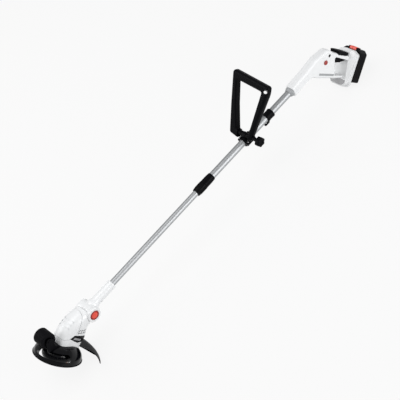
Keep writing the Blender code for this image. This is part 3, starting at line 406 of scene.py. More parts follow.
@dataclass(frozen=True)
class Wrapped(Finish):
    """Shrink wrap on the battery's cells, with fine wrinkles across them."""

    def dress(self, graph: Graph) -> bpy.types.Material:
        """Fills the material's nodes."""
        wrinkle = graph.noise(graph.place(DOCK, (1.0, 0.3, 1.0)), 240.0, 3.0)
        return graph.close({
            "Base Color": graph.blend(wrinkle, self.shade(0.85), self.shade(1.15)),
            "Roughness": self.roughness - 0.06 + wrinkle * 0.12,
            "Coat Weight": self.coat,
            "Normal": graph.bump(wrinkle, 0.00008),
        })


@dataclass(frozen=True)
class Palette:
    """The trimmer's finishes."""

    white: Finish = Moulded(Slot.WHITE_HOUSING, (0.78, 0.79, 0.80), 0.34, coat=0.12, clouds=0.012)
    white_handle: Finish = Moulded(Slot.WHITE_HANDLE, (0.79, 0.80, 0.81), 0.40, clouds=0.012)
    # Grey of the neck ring, also used for the strips of painted shade in the handle's flanks.
    grey: Finish = Moulded(Slot.GREY, (0.33, 0.34, 0.35), 0.48)
    black: Finish = Moulded(Slot.BLACK, (0.003, 0.003, 0.004), 0.38, gloss=0.05, grain=0.00009, clouds=0.12)
    gloss: Finish = Moulded(Slot.GLOSS_BLACK, (0.002, 0.002, 0.003), 0.16, gloss=0.20, grain=0.00002, clouds=0.1)
    soft: Finish = Rubber(Slot.SOFT_BLACK, (0.003, 0.003, 0.004), 0.55, gloss=0.06)
    red: Finish = Moulded(Slot.RED, (0.74, 0.055, 0.024), 0.32, coat=0.2, grain=0.00003)
    dark_red: Finish = Moulded(Slot.RED, (0.32, 0.026, 0.020), 0.38, grain=0.00003, name="dark_red")
    aluminium: Finish = Drawn(Slot.ALUMINIUM, (0.40, 0.41, 0.42), 0.50, 1.0)
    steel: Finish = Machined(Slot.STEEL, (0.52, 0.52, 0.53), 0.28, 1.0)
    spring: Finish = Machined(Slot.SPRING, (0.36, 0.36, 0.38), 0.34, 1.0, marks=900.0)
    line: Finish = Wound(Slot.LINE, (0.75, 0.30, 0.08), 0.38)
    cell: Finish = Wrapped(Slot.CELL, (0.10, 0.30, 0.45), 0.30, coat=0.3)
    # Mid grey of the flank bars' badge, and of the painted shade sheet on the dock's front.
    badge_and_painted_shade: Finish = Moulded(Slot.GREY, (0.27, 0.27, 0.28), 0.34, coat=0.2, name="badge_and_painted_shade")

    def by_slot(self) -> dict[str, Finish]:
        """The main finish of each of the record's slots."""
        found = {}
        for finish in vars(type(self)).values():
            if isinstance(finish, Finish) and not finish.name:
                found[finish.slot.value] = finish
        return found


@dataclass(frozen=True)
class Outline:
    """A closed outline of (across, up, radius) corners, counter-clockwise."""

    corners: tuple[Corner, ...]

    def inset(self, distance: float) -> Outline:
        """The outline with each side moved inwards, and each corner's radius changed to match."""
        moved = []
        count = len(self.corners)
        for i, (x, y, radius) in enumerate(self.corners):
            here = Vector((x, y))
            first = (here - Vector(self.corners[i - 1][:2])).normalized()
            second = (Vector(self.corners[(i + 1) % count][:2]) - here).normalized()
            bisector = Vector((-first.y - second.y, first.x + second.x))
            point = here + bisector * (distance * 2.0 / bisector.length_squared)
            if radius > 0.0:
                change = -distance if first.cross(second) > 0.0 else distance
                radius = max(radius + change, 0.0002)
            moved.append((point.x, point.y, radius))
        return Outline(tuple(moved))

    def flipped(self) -> Outline:
        """The outline's mirror image across its up axis, counter-clockwise again."""
        return Outline(tuple((-x, y, radius) for x, y, radius in reversed(self.corners)))

    @classmethod
    def even(cls, *right: Corner) -> Outline:
        """An outline that its up axis halves, from the right-hand corners upwards."""
        left = [(-x, y, radius) for x, y, radius in reversed(right)]
        return cls((left[-1], *right, *left[:-1]))

    def points(self, steps: int = 6) -> list[Vector]:
        """Points along the outline, with an arc at each rounded corner."""
        found = []
        count = len(self.corners)
        for i, (x, y, radius) in enumerate(self.corners):
            here = Vector((x, y))
            if radius <= 0.0:
                found.append(here)
                continue
            back = (Vector(self.corners[i - 1][:2]) - here).normalized()
            ahead = (Vector(self.corners[(i + 1) % count][:2]) - here).normalized()
            half = back.angle(ahead) / 2
            centre = here + (back + ahead).normalized() * (radius / math.sin(half))
            start = here + back * (radius / math.tan(half)) - centre
            sweep = start.angle_signed(here + ahead * (radius / math.tan(half)) - centre)
            found += [centre + Matrix.Rotation(-sweep * k / steps, 2) @ start for k in range(steps + 1)]
        return found


def quarter(steps: int) -> list[float]:
    """The angles of a quarter turn in steps."""
    return [math.pi / 2 * k / steps for k in range(steps + 1)]


class Form:
    """A closed mesh that is shaped with bmesh operators and then placed in the object's frame."""

    def __init__(self) -> None:
        """Starts with nothing."""
        self.bm = bmesh.new()
        self.steps: list[tuple[str, Form]] = []

    @classmethod
    def turned(cls, profile: Profile, segments: int = 72, closed: bool = False, sweep: float = math.tau) -> Form:
        """A turned form.

        Args:
            profile: (radius, height) pairs.
            segments: Steps round the axis.
            closed: Whether the profile's end joins its start.
            sweep: How far it is turned round z.

        Returns:
            The form, round z.
        """
        form = cls()
        verts = [form.bm.verts.new((radius, 0.0, height)) for radius, height in profile]
        pairs = list(zip(verts, verts[1:] + verts[:1]))[:None if closed else -1]
        edges = [form.bm.edges.new(pair) for pair in pairs]
        bmesh.ops.spin(form.bm, geom=verts + edges, cent=(0, 0, 0), axis=(0, 0, 1), dvec=(0, 0, 0),
                       angle=sweep, steps=segments, use_merge=sweep == math.tau, use_duplicate=False)
        return form.healed()

    @classmethod
    def slab(cls, points: Sequence[Vector], half: float, edge: float, steps: int = 5) -> Form:
        """A flat form in x and z, inset in steps to its rounded edges.

        Args:
            points: Its outline, whose own curves are wider than the edges' radius.
            half: Half its thickness along y.
            edge: Radius of its edges.
            steps: Steps in that radius.

        Returns:
            The form.
        """
        form = cls()
        core = half - edge
        face = form.bm.faces.new([form.bm.verts.new((p.x, -core, p.y)) for p in points])
        grown = bmesh.ops.extrude_face_region(form.bm, geom=[face])["geom"]
        top = next(item for item in grown if isinstance(item, bmesh.types.BMFace))
        bmesh.ops.translate(form.bm, vec=(0.0, 2 * core, 0.0), verts=top.verts[:])
        bmesh.ops.recalc_face_normals(form.bm, faces=form.bm.faces[:])
        turns = quarter(steps)
        for cap in (face, top):
            for start, end in zip(turns, turns[1:]):
                bmesh.ops.inset_region(form.bm, faces=[cap], thickness=edge * (math.cos(start) - math.cos(end)),
                                       depth=edge * (math.sin(end) - math.sin(start)), use_boundary=True,
                                       use_even_offset=True)
        return form

    @classmethod
    def lofted(cls, rings: Sequence[Sequence[Vector]]) -> Form:
        """A closed form through rings that have the same number of points each."""
        form = cls()
        verts = bmesh.ops.create_circle(form.bm, cap_ends=False, segments=len(rings[0]), radius=1.0)["verts"]
        edges = list({edge for vert in verts for edge in vert.link_edges})
        for vert, point in zip(verts, rings[0]):
            vert.co = point
        bmesh.ops.contextual_create(form.bm, geom=edges)
        for ring in rings[1:]:
            grown = bmesh.ops.extrude_edge_only(form.bm, edges=edges)["geom"]
            fresh = {item for item in grown if isinstance(item, bmesh.types.BMVert)}
            verts = [next(e.other_vert(v) for e in v.link_edges if e.other_vert(v) in fresh) for v in verts]
            edges = [e for e in grown if isinstance(e, bmesh.types.BMEdge) and set(e.verts) <= fresh]
            for vert, point in zip(verts, ring):
                vert.co = point
        bmesh.ops.contextual_create(form.bm, geom=edges)
        return form.healed()

    @classmethod
    def plate(cls, outline: Outline, half: float, edge: float = 0.0, steps: int = 5, flare: bool = False,
              smooth: int = 6) -> Form:
        """A flat outline in x and z with rounded edges.

        Args:
            outline: The outline.
            half: Half its thickness along y.
            edge: Radius of its edges.
            steps: Steps in that radius.
            flare: Whether it widens at its faces, as a cutter of an opening with rounded edges does.
            smooth: Steps in the outline's own corners.

        Returns:
            The form.
        """
        levels = [(0.0, half)]
        if edge > 0.0:
            levels = [(edge * (1 - math.sin(t)), half - edge * (1 - math.cos(t))) for t in quarter(steps)]
        if flare:
            levels = [(-edge, half + 0.02), *((-inset, y) for inset, y in levels)]
        levels += [(inset, -y) for inset, y in reversed(levels)]
        return cls.lofted([[Vector((p.x, y, p.y)) for p in outline.inset(inset).points(smooth)]
                           for inset, y in levels])

    @classmethod
    def rod(cls, radius: float, start: float, end: float, segments: int = 36) -> Form:
        """A round cutter or boss along z."""
        form = cls()
        bmesh.ops.create_cone(form.bm, cap_ends=True, segments=segments, radius1=radius, radius2=radius,
                              depth=end - start)
        bmesh.ops.translate(form.bm, vec=(0, 0, (start + end) / 2), verts=form.bm.verts)
        return form

    @classmethod
    def block(cls, low: Sequence[float], high: Sequence[float], edge: float = 0.0, segments: int = 3) -> Form:
        """A block between two corners, with its edges rounded where edge is given."""
        form = cls()
        bmesh.ops.create_cube(form.bm, size=1.0)
        bmesh.ops.scale(form.bm, vec=[b - a for a, b in zip(low, high)], verts=form.bm.verts)
        bmesh.ops.translate(form.bm, vec=[(a + b) / 2 for a, b in zip(low, high)], verts=form.bm.verts)
        if edge > 0.0:
            form.soften(edge, segments)
        return form

    def healed(self) -> Form:
        """Merges doubles and points the faces outwards."""
        bmesh.ops.remove_doubles(self.bm, verts=self.bm.verts[:], dist=1e-6)
        bmesh.ops.dissolve_degenerate(self.bm, dist=1e-7, edges=self.bm.edges[:])
        bmesh.ops.recalc_face_normals(self.bm, faces=self.bm.faces[:])
        return self

    def soften(self, width: float, segments: int) -> Form:
        """Rounds the edges between faces that aren't nearly level with each other.

        Args:
            width: Width of the rounding.
            segments: Its steps.

        Returns:
            The form itself.
        """
        edges = [e for e in self.bm.edges if len(e.link_faces) == 2 and e.calc_face_angle() > SHARP_TURN]
        bmesh.ops.bevel(self.bm, geom=edges, offset=width, offset_type="OFFSET", segments=segments,
                        profile=0.5, affect="EDGES", clamp_overlap=True, material=-1)
        return self

    def at(self, *matrices: Matrix) -> Form:
        """Places the form by matrices, the outermost first."""
        self.solved()
        for matrix in reversed(matrices):
            bmesh.ops.transform(self.bm, matrix=matrix, verts=self.bm.verts[:])
        return self

    def less(self, *tools: Form) -> Form:
        """Cuts other forms away."""
        self.steps += [("DIFFERENCE", tool) for tool in tools]
        return self

    def plus(self, *tools: Form) -> Form:
        """Joins other forms on."""
        self.steps += [("UNION", tool) for tool in tools]
        return self

    def within(self, *tools: Form) -> Form:
        """Keeps only what lies in other forms."""
        self.steps += [("INTERSECT", tool) for tool in tools]
        return self

    def _holder(self) -> bpy.types.Object:
        """A temporary object with the form's mesh."""
        mesh = bpy.data.meshes.new("work")
        self.bm.to_mesh(mesh)
        holder = bpy.data.objects.new("work", mesh)
        bpy.context.scene.collection.objects.link(holder)
        return holder

    def solved(self) -> Form:
        """Works out the cuts and joins that wait."""
        if not self.steps:
            return self
        tools = [tool.solved()._holder() for _, tool in self.steps]
        holder = self._holder()
        for (operation, _), tool in zip(self.steps, tools):
            step = holder.modifiers.new("step", "BOOLEAN")
            step.operation = operation
            step.solver = "EXACT"
            step.object = tool
        depsgraph = bpy.context.evaluated_depsgraph_get()
        result = bpy.data.meshes.new_from_object(holder.evaluated_get(depsgraph))
        self.bm.clear()
        self.bm.from_mesh(result)
        for item in [holder, *tools]:
            mesh = item.data
            bpy.data.objects.remove(item)
            bpy.data.meshes.remove(mesh)
        bpy.data.meshes.remove(result)
        self.steps = []
        return self

    def piece(self, name: str, body: Body, finish: Finish, stands_for: Sequence[str] = (),
              smooth: float = 32.0) -> bpy.types.Object:
        """Makes the form a piece of the object.

        Args:
            name: The piece's name.
            body: The body that it rides on.
            finish: Its finish.
            stands_for: CAD nodes that it replaces.
            smooth: Edges that turn by more than this many degrees stay sharp.

        Returns:
            The piece.
        """
        mesh = bpy.data.meshes.new(name)
        self.solved().bm.to_mesh(mesh)
        self.bm.free()
        mesh.shade_smooth()
        mesh.set_sharp_from_angle(angle=math.radians(smooth))
        mesh.materials.append(finish.material())
        item = bpy.data.objects.new(name, mesh)
        bpy.context.scene.collection.objects.link(item)
        normals = item.modifiers.new("normals", "WEIGHTED_NORMAL")
        normals.keep_sharp = True
        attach(item, body.value)
        if stands_for:
            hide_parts(*stands_for)
        LOG.info("%s on %s, %d faces", name, body.value, len(mesh.polygons))
        return item


def ring(inner: float, outer: float, low: float, high: float, edge: float = 0.0004) -> Profile:
    """Closed section of a ring or tube with broken edges."""
    return [(outer - edge, low), (outer, low + edge), (outer, high - edge), (outer - edge, high),
            (inner + edge, high), (inner, high - edge), (inner, low + edge), (inner + edge, low)]


def arc(centre: tuple[float, float], radius: float, start: float, end: float, steps: int = 4) -> Profile:
    """Points of an arc of a profile, from one angle to another in degrees."""
    turns = [math.radians(start + (end - start) * k / steps) for k in range(steps + 1)]
    return [(centre[0] + radius * math.cos(t), centre[1] + radius * math.sin(t)) for t in turns]


def drum(radius: float, half: float, edge: float, core: float = 0.0, steps: int = 4) -> Profile:
    """Section of a drum with rounded rims.

    Args:
        radius: Its radius.
        half: Half its length.
        edge: Radius of its rims.
        core: Radius that its end faces start from.
        steps: Steps in each rim.

    Returns:
        The points from its upper face to its lower one.
    """
    return [(core, half), *arc((radius - edge, half - edge), edge, 90.0, 0.0, steps),
            *arc((radius - edge, edge - half), edge, 0.0, -90.0, steps), (core, -half)]


def mirrored(profile: Profile) -> Profile:
    """A section made whole by its mirror image, from its lower half outwards."""
    return [*profile, *((radius, -height) for radius, height in reversed(profile))]


def cylinder(radius: float, half: float, edge: float) -> Profile:
    """Section of a cylinder with broken edges."""
    return mirrored([(0.0, -half), (radius - edge, -half), (radius, edge - half)])


def screw_head(radius: float, height: float) -> Form:
    """A pan head with a hexagon socket, its seat at z = 0."""
    crown = arc((radius - 0.0006, height - 0.0006), 0.0006, 0.0, 90.0, 3)
    head = Form.turned([(0.0, -0.0010), (radius, -0.0010), *crown, (0.0, height)], 28)
    return head.less(Form.rod(radius * 0.48, height * 0.45, height + 0.001, 6))


@dataclass
class Shaft:
    """Both tubes, the twist lock between them and the ring before the rear handle."""

    wall: float = 0.0012
    lower_span: tuple[float, float] = (0.030, 0.690)
    upper_span: tuple[float, float] = (0.480, 0.946)
    split: float = 0.506
    end: float = 0.543
    sleeve_radius: float = 0.0140
    sleeve_grooves: int = 3
    nut_length: float = 0.035
    nut_grooves: int = 10
    nut_groove: Profile = (
        (0.0, 0.006), (0.0010, 0.0066), (0.0016, 0.009), (0.0016, 0.030), (0.0010, 0.0324), (0.0, 0.033))
    groove_reach: float = 0.0153
    neck_ring: Profile = (
        (0.0165, 0.9110), (0.0165, 0.9096), (0.0160, 0.9082), (0.0130, 0.9020), (0.0122, 0.9010),
        (TUBE_BORE, 0.9010), (TUBE_BORE, 0.9110))

    def tube(self, radius: float, span: tuple[float, float]) -> Form:
        """One tube."""
        return Form.turned(ring(radius - self.wall, radius, *span), 96, closed=True).at(TOOL, ALONG)

    def sleeve(self) -> Form:
        """The lock's fixed sleeve, with grooves round it."""
        radius, foot, end = self.sleeve_radius, self.split + GAP, self.end
        groove = radius - 0.0006
        outer = [(radius - 0.0004, foot), (radius, self.split + 0.0008)]
        for k in range(self.sleeve_grooves):
            start = self.split + 0.0050 + 0.0045 * k
            outer += [(radius, start), (groove, start + 0.0006), (groove, start + 0.0016),
                      (radius, start + 0.0022)]
        outer += [(0.0137, end - 0.012), (0.0128, end - 0.0012), (0.0121, end), (TUBE_BORE, end),
                  (TUBE_BORE, foot)]
        return Form.turned(outer, 72, closed=True).at(TOOL, ALONG)

    def nut(self) -> Form:
        """The lock's nut with its grip grooves."""
        bore, length = LOWER_RADIUS + GAP, self.nut_length
        outer = [(bore, 0.0), (0.0122, 0.0), (0.0128, 0.0008), (0.0143, 0.0115), (0.0145, 0.0135),
                 (0.0145, length - 0.0008), (0.0138, length)]
        nut = Form.turned([*outer, (0.0119, length), (0.0119, 0.003), (bore, 0.003)], 80, closed=True).at(ALONG)
        for i in range(self.nut_grooves):
            nut.less(Form.turned(self.nut_groove, 12).at(
                Matrix.Rotation(math.tau * i / self.nut_grooves, 4, "X"),
                shift(0.0, 0.0, self.groove_reach), ALONG))
        return nut.at(LOCK)

    def build(self, palette: Palette) -> None:
        """Makes the shaft's pieces."""
        upper, lower = self.tube(UPPER_RADIUS, self.upper_span), self.tube(LOWER_RADIUS, self.lower_span)
        upper.piece("upper_tube_drawn", Body.HANDLE, palette.aluminium, ["upper_tube"])
        lower.piece("lower_tube_drawn", Body.SHAFT, palette.aluminium, ["lower_tube"])
        self.sleeve().piece("lock_sleeve_grooved", Body.HANDLE, palette.black, ["lock_sleeve"])
        self.nut().piece("lock_nut_grooved", Body.LOCK_NUT, palette.black, ["lock_nut"])
        neck = Form.turned(self.neck_ring, 72, closed=True).at(TOOL, ALONG)
        neck.piece("neck_ring_smooth", Body.HANDLE, palette.grey, ["neck_ring"])


@dataclass
class TiltJoint:
    """The barrel on the lower tube and the red button in it."""

    barrel_radius: float = 0.0220
    barrel_half: float = 0.0255
    barrel_edge: float = 0.0012
    spring_bore: float = 0.0095
    neck_radius: float = 0.0142
    sleeve_end: float = 0.103
    button_radius: float = 0.0148
    button_face: float = 0.0362
    screw_along: float = 0.0460
    screw_turn: float = math.radians(122.0)
    screw_seat: float = 0.0130

    def sleeve(self) -> Form:
        """The barrel and the sleeve that grows out of it, with a groove near its end."""
        radius, end = self.neck_radius, self.sleeve_end
        groove = radius - 0.0006
        neck = [(0.0, 0.004), (0.0185, 0.004), (0.0185, 0.0195), (0.0180, 0.0235), (0.0166, 0.0275),
                (0.0152, 0.0310), (0.0144, 0.0345), (radius, 0.0380), (radius, end - 0.0075),
                (groove, end - 0.0069), (groove, end - 0.0059), (radius, end - 0.0053), (radius, end - 0.0012),
                (radius - 0.0004, end - 0.0003), (0.0131, end), (0.0, end)]
        barrel = Form.turned(drum(self.barrel_radius, self.barrel_half, self.barrel_edge), 80).at(LATERAL)
        barrel.plus(Form.turned(neck, 72).at(ALONG))
        barrel.less(Form.rod(LOWER_RADIUS + GAP, 0.0297, end + 0.01, 72).at(ALONG),
                    Form.rod(PIN_BORE, -0.03, 0.03).at(LATERAL),
                    Form.rod(self.spring_bore, 0.0150, 0.03).at(LATERAL))
        return barrel.at(TOOL)

    def button(self) -> Form:
        """The button's rim and skirt, sunk in the middle."""
        face, radius = self.button_face, self.button_radius
        profile = [(0.0, face - 0.0034), (0.0108, face - 0.0034), (0.0112, face - 0.0010), (0.0118, face - 0.0002),
                   (0.0128, face), (0.0140, face - 0.0008), (0.0146, face - 0.0020), (radius, face - 0.0034),
                   (radius, 0.0295), (0.0090, 0.0295), (0.0090, 0.0240), (0.0073, 0.0240), (0.0073, 0.0300),
                   (0.0, 0.0300)]
        return Form.turned(profile, 64).at(TOOL, LATERAL)

    def centre(self) -> Form:
        """The bright centre of the button, with a dimple."""
        face = self.button_face - 0.0006
        profile = [(0.0, face - 0.0008), (0.0022, face - 0.0007), (0.0030, face), (0.0070, face + 0.0001),
                   (0.0100, face - 0.0006), (0.0105, face - 0.0012), (0.0105, face - 0.0029), (0.0, face - 0.0029)]
        return Form.turned(profile, 56).at(TOOL, LATERAL)

    def build(self, palette: Palette) -> None:
        """Makes the tilt joint's pieces."""
        seat = self.screw_seat
        place = TOOL @ shift(self.screw_along, 0.0, 0.0) @ Matrix.Rotation(self.screw_turn, 4, "X")
        sleeve = self.sleeve().less(Form.rod(0.0042, seat, seat + 0.007, 28).at(place))
        sleeve.piece("pivot_sleeve_flared", Body.SHAFT, palette.white, ["pivot_sleeve"])
        head = screw_head(0.0034, 0.0010).at(place, shift(0.0, 0.0, seat))
        head.piece("sleeve_screw", Body.SHAFT, palette.steel)
        self.button().piece("tilt_button_dished", Body.TILT_BUTTON, palette.dark_red, ["tilt_button"])
        self.centre().piece("tilt_button_centre", Body.TILT_BUTTON, palette.red)


@dataclass
class MotorHousing:
    """The white housing over the motor: cover, lower shell, vents and flank panels.

    Each section gives x, z, tilt in degrees, half length, half width, and how square its front and its
    rear are.
    """

    sections: tuple[tuple[float, ...], ...] = (
        (0.0170, 0.0040, 0.0, 0.0345, 0.0285, 4.2, 5.0), (0.0185, 0.0380, 0.0, 0.0370, 0.0292, 3.4, 6.5),
        (0.0225, 0.0540, 5.0, 0.0385, 0.0305, 2.9, 7.0), (0.0270, 0.0690, 14.0, 0.0380, 0.0315, 2.5, 4.5),
        (0.0350, 0.0850, 24.0, 0.0350, 0.0320, 2.4, 2.8), (0.0450, 0.1000, 33.0, 0.0310, 0.0315, 2.3, 2.3),
        (0.0555, 0.1120, 38.0, 0.0275, 0.0310, 2.2, 2.2), (0.0640, 0.1205, 41.0, 0.0255, 0.0305, 2.2, 2.2),
    )
    cover_side: Outline = Outline((
        (-0.0700, 0.0480, 0.0), (-0.0040, 0.0497, 0.020), (0.0229, 0.0634, 0.015), (0.0290, 0.0910, 0.060),
        (0.0345, 0.1180, 0.0), (0.0345, 0.1600, 0.0), (-0.0700, 0.1600, 0.0)))
    panel: Outline = Outline((
        (0.0050, 0.0540, 0.001), (0.0346, 0.0400, 0.003), (0.0585, 0.0425, 0.002), (0.0600, 0.0610, 0.002),
        (0.0165, 0.0650, 0.003)))
    bar: Outline = Outline((
        (0.0165, 0.0525, 0.0008), (0.0430, 0.0455, 0.0008), (0.0450, 0.0515, 0.0008), (0.0195, 0.0585, 0.0008)))
    groove_heights: tuple[float, ...] = (0.0720, 0.0797, 0.0878)
    groove_half: tuple[float, float] = (0.0215, 0.0023)
    vent_rows: tuple[tuple[float, float], ...] = ((0.0220, 0.0712), (0.0232, 0.0786))
    vents_in_row: int = 5
    vent_pitch: float = 0.0080
    vent_half: tuple[float, float] = (0.0020, 0.0028)
    lean: float = math.radians(24.0)
    cheek_radius: float = 0.0228
    cheek_half: float = 0.0340
    cheek_edge: float = 0.0025
    barrel_room: float = 0.0226
    button_room: float = 0.0151
    barrel_half: float = 0.0258
    between: int = 3
    count: int = 64

    def section(self, place: float, shrink: float) -> list[Vector]:
        """One section of the housing.

        Args:
            place: Its place in the list of sections, which may lie between two.
            shrink: How far it is drawn in.

        Returns:
            Its points.
        """
        last = len(self.sections) - 1
        i = min(int(place), last - 1)
        t = place - i
        rows = [self.sections[min(max(k, 0), last)] for k in (i - 1, i, i + 1, i + 2)]
        x, z, tilt, long, wide, front, rear = (
            0.5 * (2 * b + (c - a) * t + (2 * a - 5 * b + 4 * c - d) * t * t + (3 * b - a - 3 * c + d) * t ** 3)
            for a, b, c, d in zip(*rows))
        lean = math.radians(tilt)
        lift = -shrink if place in (0, last) else 0.0
        points = []
        for k in range(self.count):
            c, s = math.cos(math.tau * k / self.count), math.sin(math.tau * k / self.count)
            power = front if c < 0.0 else rear
            along = (long - shrink) * math.copysign(abs(c) ** (2 / power), c)
            side = (wide - shrink) * math.copysign(abs(s) ** (2 / power), s)
            points.append(Vector((x + lift * math.sin(lean) + along * math.cos(lean), side,
                                  z + lift * math.cos(lean) - along * math.sin(lean))))
        return points

    def skin(self, shrink: float) -> Form:
        """The whole housing as one closed form."""
        last = len(self.sections) - 1
        places = [k / self.between for k in range(last * self.between + 1)]
        return Form.lofted([self.section(place, shrink) for place in places]).at(HEAD)

    def groove(self, height: float) -> Form:
        """A shallow groove across the cover's front."""
        across, half = self.groove_half
        rise = height - 0.0850
        axes = hung(HEAD, (0.0350 + rise * 0.55, 0.0, height), self.lean + math.radians(rise * 550.0))
        return Form.block((-0.0600, -across, -half), (-0.0100, across, half)).at(axes).less(self.skin(0.0019))

    def vents(self, side: int) -> list[Form]:
        """Two rows of leaning slots on one flank."""
        wide, tall = self.vent_half
        low, high = sorted((side * 0.0180, side * 0.0400))
        found = []
        for x, z in self.vent_rows:
            for k in range(self.vents_in_row):
                slot = Form.block((-wide, low, -tall), (wide, high, tall), 0.0013, 2)
                found.append(slot.at(hung(HEAD, (x + self.vent_pitch * k, 0.0, z), self.lean)))
        return found

    def neck_room(self) -> list[Form]:
        """The room of the sleeve and its barrel, which shows from above and behind."""
        half = self.barrel_half
        return [Form.rod(self.barrel_room, -half, half, 80).at(TOOL, LATERAL),
                Form.block((-0.0045, -half, -0.03), (0.03, half, 0.03)).at(TOOL),
                Form.block((-0.0105, -half, 0.0), (0.03, half, 0.04)).at(TOOL)]

    def cheeks(self) -> Form:
        """The round cheeks on both sides of the barrel, cut off at the top of the far one."""
        cheeks = Form.turned(drum(self.cheek_radius, self.cheek_half, self.cheek_edge, steps=5), 80).at(LATERAL)
        return cheeks.less(Form.block((-0.05, 0.0, 0.0100), (0.05, 0.05, 0.05))).at(TOOL)

    def patch(self, outline: Outline, side: int, proud: float, depth: float) -> Form:
        """A piece of the housing's skin inside an outline on one flank."""
        low, high = sorted((side * 0.010, side * 0.060))
        prism = Form.plate(outline, 0.025).at(HEAD, shift(0.0, (low + high) / 2, 0.0))
        return self.skin(-proud).within(prism).less(self.skin(depth))

    def build(self, palette: Palette, hood_room: Form) -> None:
        """Makes the housing's pieces.

        Args:
            palette: The finishes.
            hood_room: The space that the hood and the spool take up.
        """
        shell = self.skin(0.0).plus(self.cheeks()).less(
            self.skin(WALL), *self.neck_room(), Form.plate(self.cover_side, 0.1).at(HEAD),
            Form.rod(self.button_room, 0.020, 0.05, 64).at(TOOL, LATERAL),
            Form.rod(PIN_BORE, -0.0315, 0.0).at(TOOL, LATERAL), hood_room)
        for side, _ in SIDES:
            shell.less(self.patch(self.panel, side, 0.001, 0.0008), *self.vents(side))
        shell.piece("motor_housing_vented", Body.HEAD, palette.white, ["motor_housing"])
        cover = self.skin(0.0).within(Form.plate(self.cover_side.inset(0.0011), 0.1).at(HEAD))
        cover.less(self.skin(WALL), *self.neck_room(),
                   Form.rod(self.cheek_radius + 0.0015, -self.cheek_half, self.cheek_half, 80).at(TOOL, LATERAL))
        cover.less(*(self.groove(height) for height in self.groove_heights))
        cover.piece("motor_cover_grooved", Body.HEAD, palette.white, ["motor_cover"])
        for side, label in SIDES:
            panel = self.patch(self.panel.inset(GAP), side, 0.0001, 0.0007)
            panel.piece(f"flank_panel_{label}", Body.HEAD, palette.gloss)
            self.patch(self.bar, side, 0.0004, 0.0004).piece(f"flank_bar_{label}", Body.HEAD, palette.badge_and_painted_shade)
            # A black plug sunk 0.9 to 2.1 mm into each vent slot is painted shade: it stands for the dark inside of
            # the housing.
            first, *others = self.vents(side)
            shade_plug = first.plus(*others).within(self.skin(0.0009)).less(self.skin(0.0021))
            shade_plug.piece(f"vent_shade_plug_{label}", Body.HEAD, palette.black)


@dataclass
class Hood:
    """The black hood over the spool, with the window in its front."""

    radius: float = 0.0700
    bottom: float = -0.0110
    bead: float = 0.0022
    dome: Profile = (
        (0.0156, 0.0320), (0.0230, 0.0317), (0.0300, 0.0310), (0.0357, 0.0298), (0.0410, 0.0279), (0.0462, 0.0257),
        (0.0510, 0.0230), (0.0557, 0.0195), (0.0600, 0.0153), (0.0637, 0.0112), (0.0665, 0.0070), (0.0682, 0.0030),
        (0.0692, -0.0010))
    lining: Profile = (
        (0.0669, -0.0010), (0.0659, 0.0030), (0.0640, 0.0064), (0.0612, 0.0103), (0.0580, 0.0138),
        (0.0540, 0.0176), (0.0495, 0.0209), (0.0450, 0.0235), (0.0400, 0.0255), (0.0298, 0.0285),
        (0.0156, 0.0295))
    window: tuple[Corner, Corner] = ((-0.0950, -0.0900, 0.0010), (-0.0060, 0.0060, 0.0200))

    def room(self) -> Form:
        """The space that the hood and the spool under it take up, with a gap."""
        over = [(r + GAP, z + GAP) for r, z in self.dome[1:]]
        profile = [(0.0, 0.0325), (0.0156, 0.0325), *over, (0.0740, -0.0080), (0.0740, -0.0400), (0.0, -0.0400)]
        return Form.turned(profile, 96).at(HEAD)

    def build(self, palette: Palette) -> None:
        """Makes the hood."""
        outer, inner = self.radius + self.bead, self.radius - self.bead
        rim = [(self.radius, -0.0085), (self.radius + 0.0016, -0.0086), (outer, -0.0091), (outer, -0.0105),
               (outer - 0.0004, self.bottom), (inner + 0.0004, self.bottom), (inner, self.bottom + 0.0004)]
        hood = Form.turned([*self.dome, *rim, *self.lining], 120, closed=True)
        hood.less(Form.block(*self.window, 0.0060, 4))
        hood.at(HEAD).piece("spool_hood_smooth", Body.HEAD, palette.gloss, ["spool_hood"])


